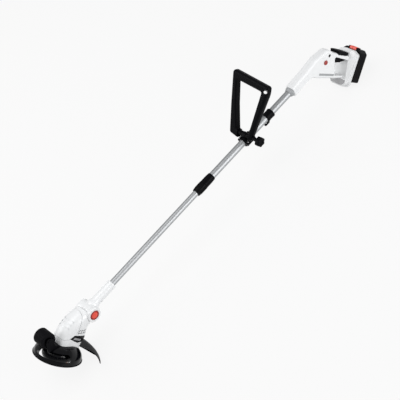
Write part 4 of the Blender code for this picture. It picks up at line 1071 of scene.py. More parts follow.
@dataclass
class Guard:
    """The domed guard behind the spool."""

    axis: float = -0.0600
    radius: float = 0.1695
    half_angle: float = math.radians(45.0)
    wall: float = 0.0025
    dome: Profile = (
        (0.1050, 0.0300), (0.1395, 0.0296), (0.1450, 0.0291), (0.1495, 0.0282), (0.1532, 0.0270), (0.1560, 0.0256),
        (0.1605, 0.0222), (0.1640, 0.0182), (0.1658, 0.0152), (0.1672, 0.0122), (0.1683, 0.0090), (0.1690, 0.0060),
        (radius, 0.0))
    front: float = 0.0640
    root: tuple[Corner, ...] = ((-0.1500, 0.0260, 0.0), (0.0460, 0.0260, 0.0), (0.0500, 0.0400, 0.012))
    near_side: tuple[Corner, ...] = ((0.0610, 0.0640, 0.030), (front, 0.0900, 0.0), (front, 0.1500, 0.0))
    far_side: tuple[Corner, ...] = ((0.0620, 0.0730, 0.010), (0.0856, 0.1130, 0.0), (0.0860, 0.1500, 0.0))
    corner: Corner = (-0.1500, 0.1500, 0.0)
    rim_lean: float = math.radians(15.0)
    flange: Outline = Outline((
        (0.0250, 0.0185, 0.0), (0.0500, 0.0210, 0.0), (0.0800, 0.0245, 0.0), (0.0780, 0.0268, 0.0),
        (0.0250, 0.0275, 0.0)))
    flange_half: float = 0.0013
    cutter_angle: float = math.radians(46.0)
    cutter_reach: float = 0.1015

    def shell(self) -> Form:
        """The guard's dome as a wall of even thickness."""
        shell = Form.turned(self.dome, 72, sweep=2 * self.half_angle)
        if sum(face.normal.z for face in shell.bm.faces) < 0.0:
            bmesh.ops.reverse_faces(shell.bm, faces=shell.bm.faces[:])
        bmesh.ops.solidify(shell.bm, geom=shell.bm.faces[:], thickness=self.wall)
        bmesh.ops.recalc_face_normals(shell.bm, faces=shell.bm.faces[:])
        return shell.at(shift(self.axis, 0.0, 0.0), round_axis(-self.half_angle))

    def build(self, palette: Palette, housing: MotorHousing) -> None:
        """Makes the guard.

        Args:
            palette: The finishes.
            housing: The motor housing that it stands against.
        """
        guard = self.shell().at(HEAD)
        guard.less(housing.skin(-0.0004))
        far = Outline((*self.root, *self.far_side, self.corner))
        near = [(x, -y, radius) for x, y, radius in (self.corner, *self.near_side[::-1], *self.root[::-1])]
        for outline in (far, Outline(tuple(near))):
            guard.less(Form.plate(outline, 0.1).at(HEAD, FLAT))
        rim = Form.block((-0.15, -0.15, -0.05), (0.03, 0.15, 0.0))
        guard.less(rim.at(hung(HEAD, (self.axis + self.radius, 0.0, 0.0010), self.rim_lean)))
        guard.less(Form.block((-1.0, -0.3, -0.1), (1.0, 0.3, 0.00005)))
        for outline in (self.flange, self.flange.flipped()):
            edge = Form.plate(outline, self.flange_half)
            guard.plus(edge.at(HEAD, shift(self.front + self.flange_half, 0.0, 0.0), ACROSS))
        place = round_axis(self.cutter_angle) @ shift(self.cutter_reach, 0.0, 0.0)
        guard.plus(Form.rod(0.0050, 0.0140, 0.0262).at(HEAD, place))
        guard.less(Form.rod(0.0020, 0.0100, 0.0205, 20).at(HEAD, place))
        guard.piece("debris_guard_domed", Body.HEAD, palette.black, ["debris_guard"])


@dataclass
class Spool:
    """Spool shells, line eyelets and bump knob."""

    radius: float = 0.0460
    flutes: int = 24
    flute_reach: float = 0.0491
    line_height: float = -0.0105
    knob_rings: tuple[float, ...] = (0.0060, 0.0100, 0.0135)

    def flute(self, index: int, low: float, high: float) -> Form:
        """A shallow finger flute down the spool's side."""
        place = round_axis(math.tau * (index + 0.5) / self.flutes)
        return Form.rod(0.0040, low, high, 16).at(place, shift(self.flute_reach, 0.0, 0.0))

    def housing(self) -> Form:
        """The upper shell."""
        profile = [(0.0320, 0.0172), (0.0365, 0.0155), (0.0410, 0.0130), (0.0440, 0.0092), (0.0456, 0.0060),
                   (self.radius, 0.0040), (self.radius, -0.0026), (0.0456, -0.0030), (0.0438, -0.0030),
                   (0.0438, 0.0036), (0.0396, 0.0110), (0.0312, 0.0151), (0.0118, 0.0158), (0.0118, 0.0182)]
        shell = Form.turned(profile, 96, closed=True)
        return shell.less(*(self.flute(k, -0.0010, 0.0200) for k in range(self.flutes))).at(HEAD)

    def cap(self) -> Form:
        """The lower shell with its two line holes."""
        profile = [(0.0456, -0.0033), (self.radius, -0.0037), (0.0458, -0.0070), (0.0452, -0.0100),
                   (0.0438, -0.0135), (0.0410, -0.0165), (0.0330, -0.0186), (0.0248, -0.0199), (0.0238, -0.0198),
                   (0.0232, -0.0193), (0.0232, -0.0178), (0.0395, -0.0145), (0.0430, -0.0093), (0.0438, -0.0033)]
        cap = Form.turned(profile, 96, closed=True)
        for outward in OUTWARD.values():
            cap.less(Form.rod(0.0030, 0.0300, 0.0500, 24).at(shift(0.0, 0.0, self.line_height), outward))
        return cap.at(HEAD)

    def knob(self) -> Form:
        """The bump knob, with rings and a dimple in its face."""
        face = [(0.0, -0.0243), (0.0028, -0.0246), (0.0038, -0.0254)]
        for radius in self.knob_rings:
            face += [(radius - 0.0008, -0.0255), (radius - 0.0004, -0.0248), (radius + 0.0004, -0.0248),
                     (radius + 0.0008, -0.0255)]
        face += [(0.0150, -0.0253), (0.0176, -0.0243), (0.0198, -0.0226), (0.0215, -0.0205), (0.0224, -0.0187),
                 (0.0226, -0.0176), (0.0224, -0.0167), (0.0218, -0.0165), (0.0100, -0.0165), (0.0100, 0.0030),
                 (0.0088, 0.0030), (0.0088, -0.0145), (0.0, -0.0145)]
        return Form.turned(face, 80).at(HEAD)

    def build(self, palette: Palette) -> None:
        """Makes the spool's pieces."""
        self.housing().piece("spool_housing_fluted", Body.SPOOL, palette.gloss, ["spool_housing"])
        self.cap().piece("spool_cap_smooth", Body.SPOOL, palette.gloss, ["spool_cap"])
        self.knob().piece("bump_knob_ringed", Body.BUMP_KNOB, palette.gloss, ["bump_knob"])
        for side, label in SIDES:
            eyelet = Form.turned(ring(0.0016, 0.0029, 0.0428, 0.0455, 0.0003), 28, closed=True)
            eyelet.at(HEAD, shift(0.0, 0.0, self.line_height), OUTWARD[side])
            eyelet.piece(f"line_eyelet_{label}", Body.SPOOL, palette.steel)


@dataclass
class EdgeWheel:
    """The guide wheel ahead of the head, and its bracket."""

    radius: float = 0.0236
    bore: float = 0.0150
    half: float = 0.0200
    edge: float = 0.0022
    treads: int = 26
    axle_bore: float = 0.0033
    hub_holes: int = 6
    arm_half: float = 0.0240
    slot_half: float = 0.0207
    arm: Outline = Outline((
        (-0.0730, 0.0440, 0.006), (-0.0560, 0.0150, 0.0), (-0.0200, 0.0200, 0.0), (-0.0200, 0.0350, 0.002),
        (-0.0380, 0.0370, 0.006), (-0.0500, 0.0560, 0.008), (-0.0600, 0.0605, 0.006), (-0.0725, 0.0580, 0.008)))
    axle_cap: Profile = (
        (0.0, 0.0264), (0.0030, 0.0263), (0.0045, 0.0257), (0.0050, 0.0248), (0.0050, 0.0239), (0.0034, 0.0239),
        (0.0034, 0.0247), (0.0, 0.0247))

    def tyre(self) -> Form:
        """The tyre, with a notched tread."""
        profile = [*drum(self.radius, self.half, self.edge, self.bore + 0.0008), (self.bore, 0.0008 - self.half),
                   (self.bore, self.half - 0.0008)]
        tyre = Form.turned(profile, 4 * self.treads, closed=True)
        for k in range(self.treads):
            for side, _ in SIDES:
                turn = round_axis(math.tau * (k + 0.25 * side) / self.treads)
                notch = Form.rod(0.0009, -0.0085, 0.0085, 8)
                tyre.less(notch.at(turn, shift(self.radius + 0.0002, 0.0, side * 0.0105)))
        return tyre.at(WHEEL, LATERAL)

    def hub(self) -> Form:
        """The hub, with round holes through its web."""
        profile = [(0.0147, -0.0180), (0.0143, -0.0185), (0.0114, -0.0185), (0.0110, -0.0181), (0.0098, -0.0152),
                   (0.0062, -0.0150), (0.0060, -0.0192), (0.0057, -0.0195), (self.axle_bore, -0.0195)]
        hub = Form.turned(mirrored(profile), 60, closed=True)
        for k in range(self.hub_holes):
            hub.less(Form.rod(0.0014, -0.03, 0.03, 14).at(
                round_axis(math.tau * k / self.hub_holes), shift(0.0081, 0.0, 0.0)))
        return hub.at(WHEEL, LATERAL)

    def bracket(self, housing: MotorHousing, hood_room: Form) -> Form:
        """The arms that carry the wheel."""
        bracket = Form.plate(self.arm, self.arm_half, 0.0010, 3).at(HEAD)
        slot = Form.block((-0.12, -self.slot_half, -0.05), (-0.0385, self.slot_half, 0.09)).at(HEAD)
        axle = Form.rod(self.axle_bore, -0.04, 0.04).at(WHEEL, LATERAL)
        return bracket.less(slot, housing.skin(-GAP), hood_room, axle)

    def build(self, palette: Palette, housing: MotorHousing, hood_room: Form) -> None:
        """Makes the wheel's pieces.

        Args:
            palette: The finishes.
            housing: The motor housing that the bracket stands against.
            hood_room: The space that the hood and the spool take up.
        """
        self.tyre().piece("edge_tyre_treaded", Body.WHEEL, palette.soft, ["edge_tyre"])
        self.hub().piece("edge_hub_drilled", Body.WHEEL, palette.black, ["edge_hub"])
        bracket = self.bracket(housing, hood_room)
        bracket.piece("wheel_bracket_rounded", Body.HEAD, palette.black, ["wheel_bracket"])
        for side, label in SIDES:
            cap = Form.turned(self.axle_cap, 40).at(WHEEL, OUTWARD[side])
            cap.piece(f"axle_cap_{label}", Body.HEAD, palette.black)


@dataclass
class Clamp:
    """The clamp on the upper tube, its screws and its lobed knob."""

    half: float = 0.0180
    top_radius: float = 0.0140
    bottom_radius: float = 0.0175
    lug_radius: float = 0.0085
    lug_half: float = 0.0088
    ear: float = 0.0215
    ear_top: float = 0.0040
    screws: Profile = ((-0.0110, -0.0178), (0.0110, -0.0178), (-0.0110, 0.0178), (0.0110, 0.0178))
    knob_span: tuple[float, float] = (0.0550, 0.0720)
    knob_radius: float = 0.0155
    knob_steps: int = 96
    lobes: int = 6

    def top(self) -> Form:
        """The upper half with the hinge lug."""
        top = Form.turned(cylinder(self.top_radius, self.half, 0.0008), 64).at(ALONG)
        radius, wide = self.lug_radius, self.lug_half
        lug = Form.turned(cylinder(radius, wide, 0.0007), 48).at(shift(0.0, 0.0, BOLT_HEIGHT), LATERAL)
        top.plus(lug, Form.block((-radius, -wide, 0.006), (radius, wide, BOLT_HEIGHT), 0.0006, 2),
                 Form.block((-self.half, -self.ear, -0.003), (self.half, self.ear, self.ear_top), 0.0010))
        top.less(Form.block((-0.03, -0.03, -0.03), (0.03, 0.03, GAP / 2)),
                 Form.rod(TUBE_BORE, -0.03, 0.03, 64).at(ALONG),
                 Form.rod(BOLT_BORE, -0.03, 0.03).at(shift(0.0, 0.0, BOLT_HEIGHT), LATERAL))
        return top.at(CLAMP)

    def bottom(self) -> Form:
        """The lower half."""
        bottom = Form.turned(cylinder(self.bottom_radius, self.half, 0.0015), 64).at(ALONG)
        bottom.plus(Form.block((-self.half, -self.ear, -0.0060), (self.half, self.ear, 0.003), 0.0010))
        bottom.less(Form.block((-0.03, -0.03, -GAP / 2), (0.03, 0.03, 0.03)),
                    Form.rod(TUBE_BORE, -0.03, 0.03, 64).at(ALONG))
        return bottom.at(CLAMP)

    def knob(self) -> Form:
        """The knob: a six-lobed wheel on a stem."""
        low, high = self.knob_span
        points = []
        for k in range(self.knob_steps):
            turn = math.tau * k / self.knob_steps
            reach = self.knob_radius - 0.0011 * (1.0 - math.cos(self.lobes * turn))
            points.append(Vector((reach * math.cos(turn), reach * math.sin(turn))))
        knob = Form.slab(points, (high - low) / 2, 0.0034).at(shift(0.0, -(low + high) / 2, 0.0))
        stem = [(0.0, 0.0245), (0.0056, 0.0245), (0.0060, 0.0250), (0.0060, 0.0500), (0.0068, 0.0530),
                (0.0090, 0.0552), (0.0, 0.0560)]
        knob.plus(Form.turned(stem, 40).at(LATERAL))
        dish = [(0.0, high - 0.0016), (0.0050, high - 0.0016), (0.0064, high - 0.0006), (0.0070, high + 0.002),
                (0.0, high + 0.002)]
        return knob.less(Form.turned(dish, 40).at(LATERAL), Form.rod(0.0033, 0.0, 0.0540).at(LATERAL)).at(BOLT)

    def build(self, palette: Palette) -> None:
        """Makes the clamp's pieces."""
        self.top().piece("clamp_top_lugged", Body.CLAMP, palette.black, ["clamp_top"])
        self.bottom().piece("clamp_bottom_rounded", Body.CLAMP, palette.black, ["clamp_bottom"])
        self.knob().piece("clamp_knob_lobed", Body.KNOB, palette.black, ["clamp_knob"])
        for number, (x, y) in enumerate(self.screws, 1):
            head = screw_head(0.0028, 0.0018).at(CLAMP, shift(x, y, self.ear_top))
            head.piece(f"clamp_screw_{number}", Body.CLAMP, palette.steel)


@dataclass
class LoopHandle:
    """The front handle: an uneven D on the clamp's bolt."""

    outer: Outline = Outline((
        (0.0250, -0.0165, 0.010), (0.0560, -0.0105, 0.009), (0.0675, 0.0820, 0.300), (0.0775, 0.1850, 0.010),
        (-0.0735, 0.1745, 0.009), (-0.0740, 0.1500, 0.060), (-0.0375, 0.0120, 0.010), (-0.0330, -0.0100, 0.008),
        (-0.0100, -0.0130, 0.008)))
    inner: Outline = Outline((
        (0.0290, 0.0085, 0.004), (0.0450, 0.0820, 0.150), (0.0560, 0.1580, 0.005), (-0.0490, 0.1520, 0.005),
        (-0.0220, 0.0090, 0.003)))
    half: float = 0.0110
    knuckle: Profile = (
        (0.0, 0.0098), (0.0072, 0.0098), (0.0078, 0.0104), (0.0078, 0.0274), (0.0072, 0.0280), (0.0, 0.0280))
    hole: tuple[float, float] = (-0.0672, 0.1592)
    hole_lean: tuple[float, float, float] = (0.652, 0.638, -0.410)

    def form(self) -> Form:
        """The handle."""
        handle = Form.plate(self.outer, self.half, 0.0080, 7, smooth=8).at(ACROSS)
        inner = Form.plate(self.inner, self.half, 0.0045, 5, flare=True, smooth=8).at(ACROSS)
        handle.less(inner, Form.block((-0.03, -0.0225, -0.03), (0.03, 0.0225, 0.0100), 0.0010, 2))
        for outward in OUTWARD.values():
            handle.plus(Form.turned(self.knuckle, 40).at(outward))
        handle.less(Form.rod(BOLT_BORE, -0.08, 0.08).at(LATERAL), Form.rod(0.0066, 0.024, 0.08).at(LATERAL),
                    Form.rod(0.0062, -0.08, -0.024).at(LATERAL))
        across, up = self.hole
        cord = Vector(self.hole_lean).to_track_quat("Z", "Y").to_matrix().to_4x4()
        profile = [(0.0, -0.0200), (0.0064, -0.0200), (0.0055, 0.0010), (0.0055, 0.0500), (0.0, 0.0500)]
        hole = Form.turned(profile, 32).at(shift(-self.half, across, up), cord)
        return handle.less(hole).at(LOOP)

    def build(self, palette: Palette) -> None:
        """Makes the handle."""
        self.form().piece("loop_handle_rounded", Body.LOOP, palette.black, ["loop_handle"])


@dataclass
class StrapCollar:
    """The collar with the shoulder strap's eye."""

    start: float = 0.791
    end: float = 0.820
    radius: float = 0.0150
    eye: Outline = Outline((
        (0.0040, -0.0100, 0.0), (-0.0120, -0.0100, 0.003), (-0.0120, -0.0250, 0.005), (0.0080, -0.0250, 0.005),
        (0.0120, -0.0120, 0.0)))

    def form(self) -> Form:
        """The collar."""
        start, end, edge = self.start, self.end, 0.0018
        outer, groove = self.radius, self.radius - 0.0006
        profile = [(0.0, start), *arc((outer - edge, start + edge), edge, -90.0, 0.0), (outer, start + 0.0060),
                   (groove, start + 0.0066), (groove, end - 0.0066), (outer, end - 0.0060),
                   *arc((outer - edge, end - edge), edge, 0.0, 90.0), (0.0, end)]
        hole = Form.turned(mirrored([(0.0, -0.01), (0.0060, -0.01), (0.0036, -0.0016)]), 32)
        eye = Form.plate(self.eye, 0.0025, 0.0008, 3).at(shift(start, 0.0, 0.0))
        collar = Form.turned(profile, 72).at(ALONG).plus(eye)
        collar.less(Form.rod(TUBE_BORE, start - 0.02, end + 0.02, 72).at(ALONG),
                    hole.at(shift(start - 0.0035, 0.0, -0.0188), LATERAL))
        return collar.at(TOOL)

    def build(self, palette: Palette) -> None:
        """Makes the collar."""
        self.form().piece("strap_collar_rounded", Body.HANDLE, palette.black, ["strap_collar"])


@dataclass
class Dock:
    """The white dock that the battery pack slides on."""

    front: Outline = Outline.even(
        (0.0230, -0.0320, 0.004), (0.0340, -0.0200, 0.004), (0.0180, 0.0560, 0.006), (0.0170, 0.0770, 0.004))
    back: Outline = Outline.even(
        (0.0250, -0.0340, 0.006), (0.0370, -0.0180, 0.006), (0.0370, 0.0750, 0.006), (0.0190, 0.0840, 0.004))
    foot: Outline = Outline.even((0.0250, -0.0340, 0.006), (0.0330, -0.0235, 0.004), (0.0330, -0.0153, 0.002))
    foot_span: tuple[float, float] = (0.0030, 0.0135)
    # Outline of the sheet of painted shade on the dock's front face.
    heel: Outline = Outline.even((0.0215, -0.0300, 0.003), (0.0310, -0.0200, 0.003), (0.0295, -0.0115, 0.002))
    seams: tuple[float, ...] = (-0.0085, -0.0010)
    seam_half: float = 0.0011
    seam_depth: float = 0.0016

    def body(self, grow: float) -> Form:
        """The dock's body, grown by a margin."""
        levels = [(-0.0205 - grow, self.front, 0.0015), (-0.0202 - grow, self.front, 0.0008),
                  (-0.0190 - grow, self.front, 0.0), (-0.0130 - grow, self.back, 0.0), (0.0035, self.back, 0.0),
                  (0.0043 + grow, self.back, 0.0004), (0.0045 + grow, self.back, 0.0010)]
        return self.stacked((x, outline, inset - grow) for x, outline, inset in levels)

    @staticmethod
    def stacked(levels: Iterable[tuple[float, Outline, float]]) -> Form:
        """A form through outlines, each with its depth and its inset."""
        return Form.lofted([[Vector((x, p.x, p.y)) for p in outline.inset(inset).points()]
                            for x, outline, inset in levels]).at(DOCK)

    def build(self, palette: Palette) -> None:
        """Makes the dock."""
        dock = self.body(0.0)
        front, back = self.foot_span
        foot = Form.plate(self.foot, (back - front) / 2, 0.0015, 3)
        dock.plus(foot.at(DOCK, shift((front + back) / 2, 0.0, 0.0), ACROSS))
        hollow = self.stacked(((-0.0165, self.front, WALL), (-0.0112, self.back, WALL), (0.0021, self.back, WALL)))
        dock.less(hollow, Form.block((0.0, -0.0250, -0.0060), (0.0070, 0.0250, 0.0640)).at(DOCK))
        half = self.seam_half
        for x in self.seams:
            seam = Form.block((x - half, -0.05, -0.05), (x + half, 0.05, 0.1)).at(DOCK)
            dock.less(seam.less(self.body(-self.seam_depth)))
        dock.piece("battery_dock_seamed", Body.HANDLE, palette.white_handle, ["battery_dock"])
        # A mid-grey sheet on the dock's front face, below the handle, is painted shade where that face turns away
        # from the light.
        heel = Form.plate(self.heel, 0.0008, 0.0003, 2).at(DOCK, shift(-0.0203, 0.0, 0.0), ACROSS)
        heel.piece("dock_painted_shade_pad", Body.HANDLE, palette.badge_and_painted_shade)


@dataclass
class RearHandle:
    """Both halves of the rear handle, the grip pad and the controls."""

    half: float = 0.0165
    outline: Outline = Outline((
        (0.9125, -0.0160, 0.0), (0.9400, -0.0150, 0.0), (0.9760, -0.0135, 0.020), (0.9960, -0.0190, 0.020),
        (1.0673, -0.0918, 0.0), (1.1060, -0.1290, 0.0), (1.1200, -0.1160, 0.0), (1.1600, -0.0797, 0.0),
        (1.1040, -0.0106, 0.012), (1.0905, 0.0165, 0.020), (1.0350, 0.0255, 0.040),
        (0.9850, 0.0190, 0.040), (0.9125, 0.0160, 0.0)))
    opening: Outline = Outline((
        (1.0732, -0.0842, 0.006), (1.1130, -0.1240, 0.0), (1.1448, -0.0852, 0.0), (1.1011, -0.0255, 0.006)))
    pad: Outline = Outline((
        (0.0152, 0.0052, 0.002), (0.0232, -0.0085, 0.003), (0.0600, -0.0050, 0.004), (0.0712, -0.0030, 0.002),
        (0.0697, 0.0080, 0.002), (0.0360, 0.0072, 0.020)))
    pad_half: float = 0.0186
    lever: Outline = Outline((
        (-0.0545, -0.0028, 0.001), (-0.0550, -0.0160, 0.004), (-0.0440, -0.0230, 0.006),
        (-0.0200, -0.0180, 0.020), (0.0010, -0.0080, 0.004), (0.0040, -0.0010, 0.002),
        (0.0030, 0.0035, 0.002), (-0.0040, 0.0035, 0.002), (-0.0100, -0.0028, 0.001)))
    # The groove under each flank's bulge; a grey strip of painted shade lies in it.
    ledge: Outline = Outline((
        (1.0191, -0.0295, 0.0012), (1.0695, -0.0815, 0.0012), (1.0738, -0.0765, 0.0012),
        (1.0232, -0.0235, 0.0012)))
    lever_half: float = 0.0096
    trigger_room: tuple[Corner, Corner] = ((0.0178, -0.0106, -0.0300), (0.0790, 0.0106, -0.0120))
    lock_off_radius: float = 0.0075
    screws: Profile = ((0.9300, 0.0020), (1.0000, 0.0040), (1.0420, -0.0380), (1.0850, 0.0060))
    screw_sink: float = 0.0034
    lamp_at: tuple[float, float] = (1.0833, -0.0027)
    lens: Profile = (
        (0.0, 0.0168), (0.0030, 0.0167), (0.0046, 0.0163), (0.0050, 0.0158), (0.0050, 0.0148), (0.0, 0.0148))
    ribs: int = 9
    rib_pitch: float = 0.0062

    def shell(self, side: int, dock: Dock) -> Form:
        """One half of the handle.

        Args:
            side: -1 for the operator's left, 1 for the right.
            dock: The dock that it ends at.

        Returns:
            The half.
        """
        shell = Form.plate(self.outline, self.half, 0.0065, 6, smooth=8)
        shell.less(Form.plate(self.opening, self.half, 0.0022, 4, flare=True, smooth=8))
        hollow = Form.plate(self.outline.inset(WALL), self.half - WALL, 0.0035, 3)
        hollow.less(Form.plate(self.opening.inset(-WALL), 0.05))
        low, high = (-0.05, -GAP / 2) if side < 0 else (GAP / 2, 0.05)
        shell.less(hollow).within(Form.block((0.85, low, -0.25), (1.25, high, 0.10)))
        shell.less(Form.plate(self.ledge, 0.0018).at(shift(0.0, side * (self.half - 0.0002), 0.0)))
        shell.at(TOOL).less(dock.body(GAP), Form.rod(TUBE_BORE, 0.90, 0.95, 72).at(TOOL, ALONG),
                            Form.block(*self.trigger_room).at(GRIP))
        if side < 0:
            shell.less(Form.rod(self.lock_off_radius + GAP, 0.0, 0.03, 56).at(LOCK_OFF, LATERAL),
                       Form.rod(0.0051, 0.0148, 0.03, 36).at(self.flank(side, self.lamp_at)))
        else:
            for spot in self.screws:
                shell.less(Form.rod(self.screw_sink, self.half - 0.0015, 0.03, 28).at(self.flank(side, spot)))
        return shell

    @staticmethod
    def flank(side: int, spot: tuple[float, float]) -> Matrix:
        """Axes behind a spot of one flank, with z outwards."""
        return TOOL @ shift(spot[0], 0.0, spot[1]) @ OUTWARD[side]

    def grip_pad(self, dock: Dock) -> Form:
        """The soft pad, with shallow ribs across its top."""
        pad = Form.plate(self.pad, self.pad_half, 0.0045, 6)
        for k in range(self.ribs):
            place = shift(0.0150 + self.rib_pitch * k, 0.0, 0.0078)
            pad.less(Form.rod(0.0010, -0.0130, 0.0130, 10).at(place, LATERAL))
        pad.at(GRIP)
        core = Form.plate(self.outline.inset(-GAP), self.half + GAP, 0.0055, 5).at(TOOL)
        return pad.less(core, dock.body(GAP))

    def trigger(self) -> Form:
        """The lever."""
        lever = Form.plate(self.lever, self.lever_half, 0.0020, 4)
        return lever.less(Form.rod(0.0018, -0.02, 0.02, 20).at(LATERAL)).at(TRIGGER)

    def lock_off(self) -> Form:
        """The safety button."""
        radius = self.lock_off_radius
        profile = [(0.0, 0.0193), (0.0038, 0.0194), (0.0050, 0.0199), (radius - 0.0014, 0.0198),
                   (radius - 0.0005, 0.0192), (radius, 0.0182), (radius, 0.0136), (0.0088, 0.0136),
                   (0.0088, 0.0120), (0.0042, 0.0120), (0.0042, 0.0165), (0.0, 0.0165)]
        return Form.turned(profile, 56).at(LOCK_OFF, LATERAL)

    def build(self, palette: Palette, dock: Dock) -> None:
        """Makes the handle's pieces.

        Args:
            palette: The finishes.
            dock: The dock that they end at.
        """
        for side, label in SIDES:
            shell = self.shell(side, dock)
            shell.piece(f"handle_half_{label}", Body.HANDLE, palette.white_handle, [f"handle_shell_{label}"])
        self.grip_pad(dock).piece("grip_pad_ribbed", Body.HANDLE, palette.soft, ["grip_pad"])
        self.trigger().piece("trigger_rounded", Body.TRIGGER, palette.black, ["trigger"])
        self.lock_off().piece("lock_off_dished", Body.LOCK_OFF, palette.dark_red, ["lock_off_button"])
        lens = Form.turned(self.lens, 36).at(self.flank(-1, self.lamp_at))
        lens.piece("charge_lamp", Body.HANDLE, palette.gloss)
        sunk = self.half - 0.0014
        # A grey strip sunk in each flank's ledge groove is painted shade under the flank's bulge.
        for side, label in SIDES:
            strip = Form.plate(self.ledge.inset(0.0002), 0.0004).at(TOOL, shift(0.0, side * sunk, 0.0))
            strip.piece(f"flank_shade_strip_{label}", Body.HANDLE, palette.grey)
        for number, spot in enumerate(self.screws, 1):
            head = screw_head(0.0030, 0.0011).at(self.flank(1, spot), shift(0.0, 0.0, sunk))
            head.piece(f"handle_screw_{number}", Body.HANDLE, palette.steel)


@dataclass
class Pack:
    """The battery pack and its release button."""

    near: float = 0.0050
    split: float = 0.0110
    far: float = 0.0450
    end: Outline = Outline.even(
        (0.0370, -0.0150, 0.004), (0.0370, 0.0800, 0.007), (0.0250, 0.0900, 0.004))
    wall: float = 0.0022
    grooves: tuple[float, ...] = (0.0180, 0.0250, 0.0320)
    groove_half: float = 0.0004
    button_room: tuple[Corner, Corner] = ((0.0077, -0.0178, 0.080), (0.0263, 0.0178, 0.10))
    button_depths: tuple[float, float] = (0.0080, 0.0260)
    button_foot: float = 0.0845
    ribs: int = 4
    rib_pitch: float = 0.0040

    def slice(self, outline: Outline, near: float, far: float, edge: float = 0.0) -> Form:
        """The pack's section between two depths."""
        form = Form.plate(outline, (far - near) / 2, edge, 6)
        return form.at(shift((near + far) / 2, 0.0, 0.0), ACROSS)

    @staticmethod
    def room(near: float, far: float) -> Form:
        """All the room between two depths."""
        return Form.block((near, -0.05, -0.05), (far, 0.05, 0.12))

    def groove(self, depth: float) -> Form:
        """A fine groove down both flanks of the cover."""
        half = self.groove_half
        strip = Form.block((depth - half, -0.05, 0.0020), (depth + half, 0.05, 0.0720))
        return strip.less(self.slice(self.end.inset(0.0006), 0.0, 0.06))

    def base(self) -> Form:
        """The base, notched in front of its button."""
        base = self.slice(self.end.inset(GAP), self.near, self.split + 0.02, 0.0015)
        return base.less(
            self.room(self.split - GAP, self.split + 0.03),
            self.slice(self.end.inset(self.wall), self.near + WALL, self.split + 0.02), Form.block(*self.button_room),
            Form.block((self.near - 0.01, -0.0178, 0.0846), (0.0080, 0.0178, 0.10)))

    def cover(self) -> Form:
        """The cover over the cells."""
        cover = self.slice(self.end, self.split - 0.02, self.far, 0.0060)
        cover.less(self.room(self.split - 0.03, self.split),
                   self.slice(self.end.inset(self.wall), self.split - 0.02, self.far - WALL, 0.0030),
                   Form.block(*self.button_room))
        return cover.less(*(self.groove(depth) for depth in self.grooves))

    def button(self) -> Form:
        """The release button, with ribs across its top."""
        front, back = self.button_depths
        button = Form.block((front, -0.0135, self.button_foot), (back, 0.0135, 0.0945), 0.0016)
        for k in range(self.ribs):
            place = shift(0.0, -0.0060 + self.rib_pitch * k, 0.0946)
            button.less(Form.rod(0.0006, 0.0060, 0.0280, 10).at(place, ALONG))
        return button

    def build(self, palette: Palette) -> None:
        """Makes the pack's pieces."""
        front, back = self.button_depths
        self.base().at(DOCK).piece("pack_base_rounded", Body.PACK, palette.black, ["pack_base"])
        self.cover().at(DOCK).piece("pack_cover_grooved", Body.PACK, palette.black, ["pack_cover"])
        self.button().at(DOCK).piece("release_button_ribbed", Body.RELEASE, palette.red, ["release_button"])
        for side, label in SIDES:
            low, high = sorted((side * 0.0137, side * 0.0175))
            end = Form.block((front, low, self.button_foot), (back, high, 0.0940), 0.0012)
            end.at(DOCK).piece(f"release_end_{label}", Body.RELEASE, palette.black)


@dataclass(frozen=True)
class Lamp:
    """A square soft lamp."""

    name: str
    at: Corner
    size: float
    power: float


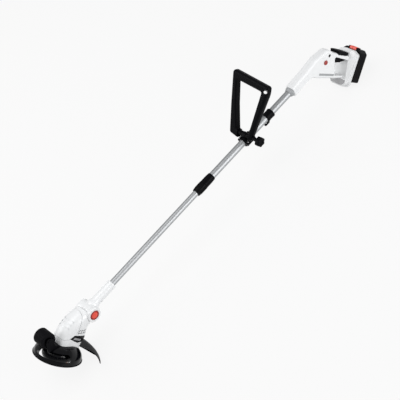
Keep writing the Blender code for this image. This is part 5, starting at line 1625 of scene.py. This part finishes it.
@dataclass
class Studio:
    """Floor, lights and camera."""

    floor_size: float = 12.0
    floor_drop: float = 0.0004
    grey: float = 0.60
    glow: float = 0.87
    ambient: float = 0.44
    aim: Corner = (0.0, 0.0, 0.1)
    lamps: tuple[Lamp, ...] = (
        Lamp("key", (1.0, -3.0, 0.9), 1.9, 65.0), Lamp("top", (-0.6, 0.4, 3.0), 2.0, 42.0),
        Lamp("rim", (-1.6, 1.8, 1.6), 1.2, 20.0))
    lens: float = 102.9
    sensor: float = 36.0
    clip: tuple[float, float] = (0.05, 60.0)
    eye: Corner = (-0.4432, -2.1680, 2.4217)
    right: Corner = (0.6541, -0.6711, -0.3490)
    up: Corner = (0.7071, 0.3785, 0.5973)
    back: Corner = (-0.2688, -0.6375, 0.7221)

    @staticmethod
    def shown(graph: Graph) -> Value:
        """1 where the camera, a reflection or glass looks, and 0 where light only falls."""
        camera, glossy, glass = (graph.node("ShaderNodeLightPath", output=f"Is {ray} Ray")
                                 for ray in ("Camera", "Glossy", "Transmission"))
        return graph.node("ShaderNodeMath", {"operation": "MINIMUM"}, {0: camera + glossy + glass, 1: 1.0})

    def floor(self) -> None:
        """A plain pale floor that keeps the object's shadow."""
        bm = bmesh.new()
        bmesh.ops.create_grid(bm, x_segments=8, y_segments=8, size=self.floor_size)
        mesh = bpy.data.meshes.new("floor")
        bm.to_mesh(mesh)
        bm.free()
        graph = Graph(bpy.data.materials.new("floor"))
        paint = graph.node("ShaderNodeBsdfDiffuse", {}, {"Color": (self.grey, self.grey, self.grey, 1.0)})
        glow = graph.node("ShaderNodeEmission", {}, {"Color": WHITE, "Strength": 1.0})
        graph.show(graph.node("ShaderNodeMixShader", {}, {0: self.shown(graph) * self.glow, 1: paint, 2: glow}))
        mesh.materials.append(graph.owner)
        floor = bpy.data.objects.new("floor", mesh)
        floor.location.z = -self.floor_drop
        bpy.context.scene.collection.objects.link(floor)

    def world(self) -> None:
        """An even soft light that shows white behind the object."""
        graph = Graph(bpy.data.worlds.new("studio"))
        camera = graph.node("ShaderNodeLightPath", output="Is Camera Ray")
        light, white = (graph.node("ShaderNodeBackground", {}, {"Color": WHITE, "Strength": strength})
                        for strength in (self.ambient, 1.0))
        graph.show(graph.node("ShaderNodeMixShader", {}, {0: camera, 1: light, 2: white}))
        bpy.context.scene.world = graph.owner

    def light(self, lamp: Lamp) -> None:
        """Makes a lamp that looks at the object's middle."""
        light = bpy.data.lights.new(lamp.name, "AREA")
        light.size = lamp.size
        light.energy = lamp.power
        item = bpy.data.objects.new(lamp.name, light)
        item.location = lamp.at
        item.rotation_mode = "QUATERNION"
        item.rotation_quaternion = (Vector(self.aim) - Vector(lamp.at)).to_track_quat("-Z", "Y")
        bpy.context.scene.collection.objects.link(item)

    def camera(self) -> None:
        """The photograph's camera."""
        data = bpy.data.cameras.new("camera")
        data.lens = self.lens
        data.sensor_width = self.sensor
        data.clip_start, data.clip_end = self.clip
        camera = bpy.data.objects.new("camera", data)
        axes = Matrix((self.right, self.up, self.back)).transposed().to_4x4()
        camera.matrix_world = TOOL @ shift(*self.eye) @ axes
        bpy.context.scene.collection.objects.link(camera)
        bpy.context.scene.camera = camera

    def build(self) -> None:
        """Makes the studio."""
        bpy.context.scene.view_settings.view_transform = "Standard"
        self.floor()
        self.world()
        for lamp in self.lamps:
            self.light(lamp)
        self.camera()


def dress_nodes(frame: Mapping[str, object], palette: Palette) -> None:
    """Gives every CAD node that is still shown the finish of its slot.

    Args:
        frame: What the frame's loading returned.
        palette: The finishes.
    """
    finishes = palette.by_slot()
    for part in frame["record"]["subparts"]:
        for slot in frame["nodes"][part["node"]].material_slots:
            slot.material = finishes[part["material_slot"]].material()
    LOG.info("%d CAD nodes dressed", len(frame["nodes"]))


def main() -> None:
    """Builds the sub-assemblies in order, then the studio."""
    logging.basicConfig(level=logging.INFO, format="%(message)s")
    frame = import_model()
    palette = Palette()
    housing, hood, dock = MotorHousing(), Hood(), Dock()
    dress_nodes(frame, palette)
    Shaft().build(palette)
    TiltJoint().build(palette)
    housing.build(palette, hood.room())
    hood.build(palette)
    Guard().build(palette, housing)
    Spool().build(palette)
    EdgeWheel().build(palette, housing, hood.room())
    Clamp().build(palette)
    LoopHandle().build(palette)
    StrapCollar().build(palette)
    RearHandle().build(palette, dock)
    dock.build(palette)
    Pack().build(palette)
    Studio().build()


if __name__ == "__main__":
    main()
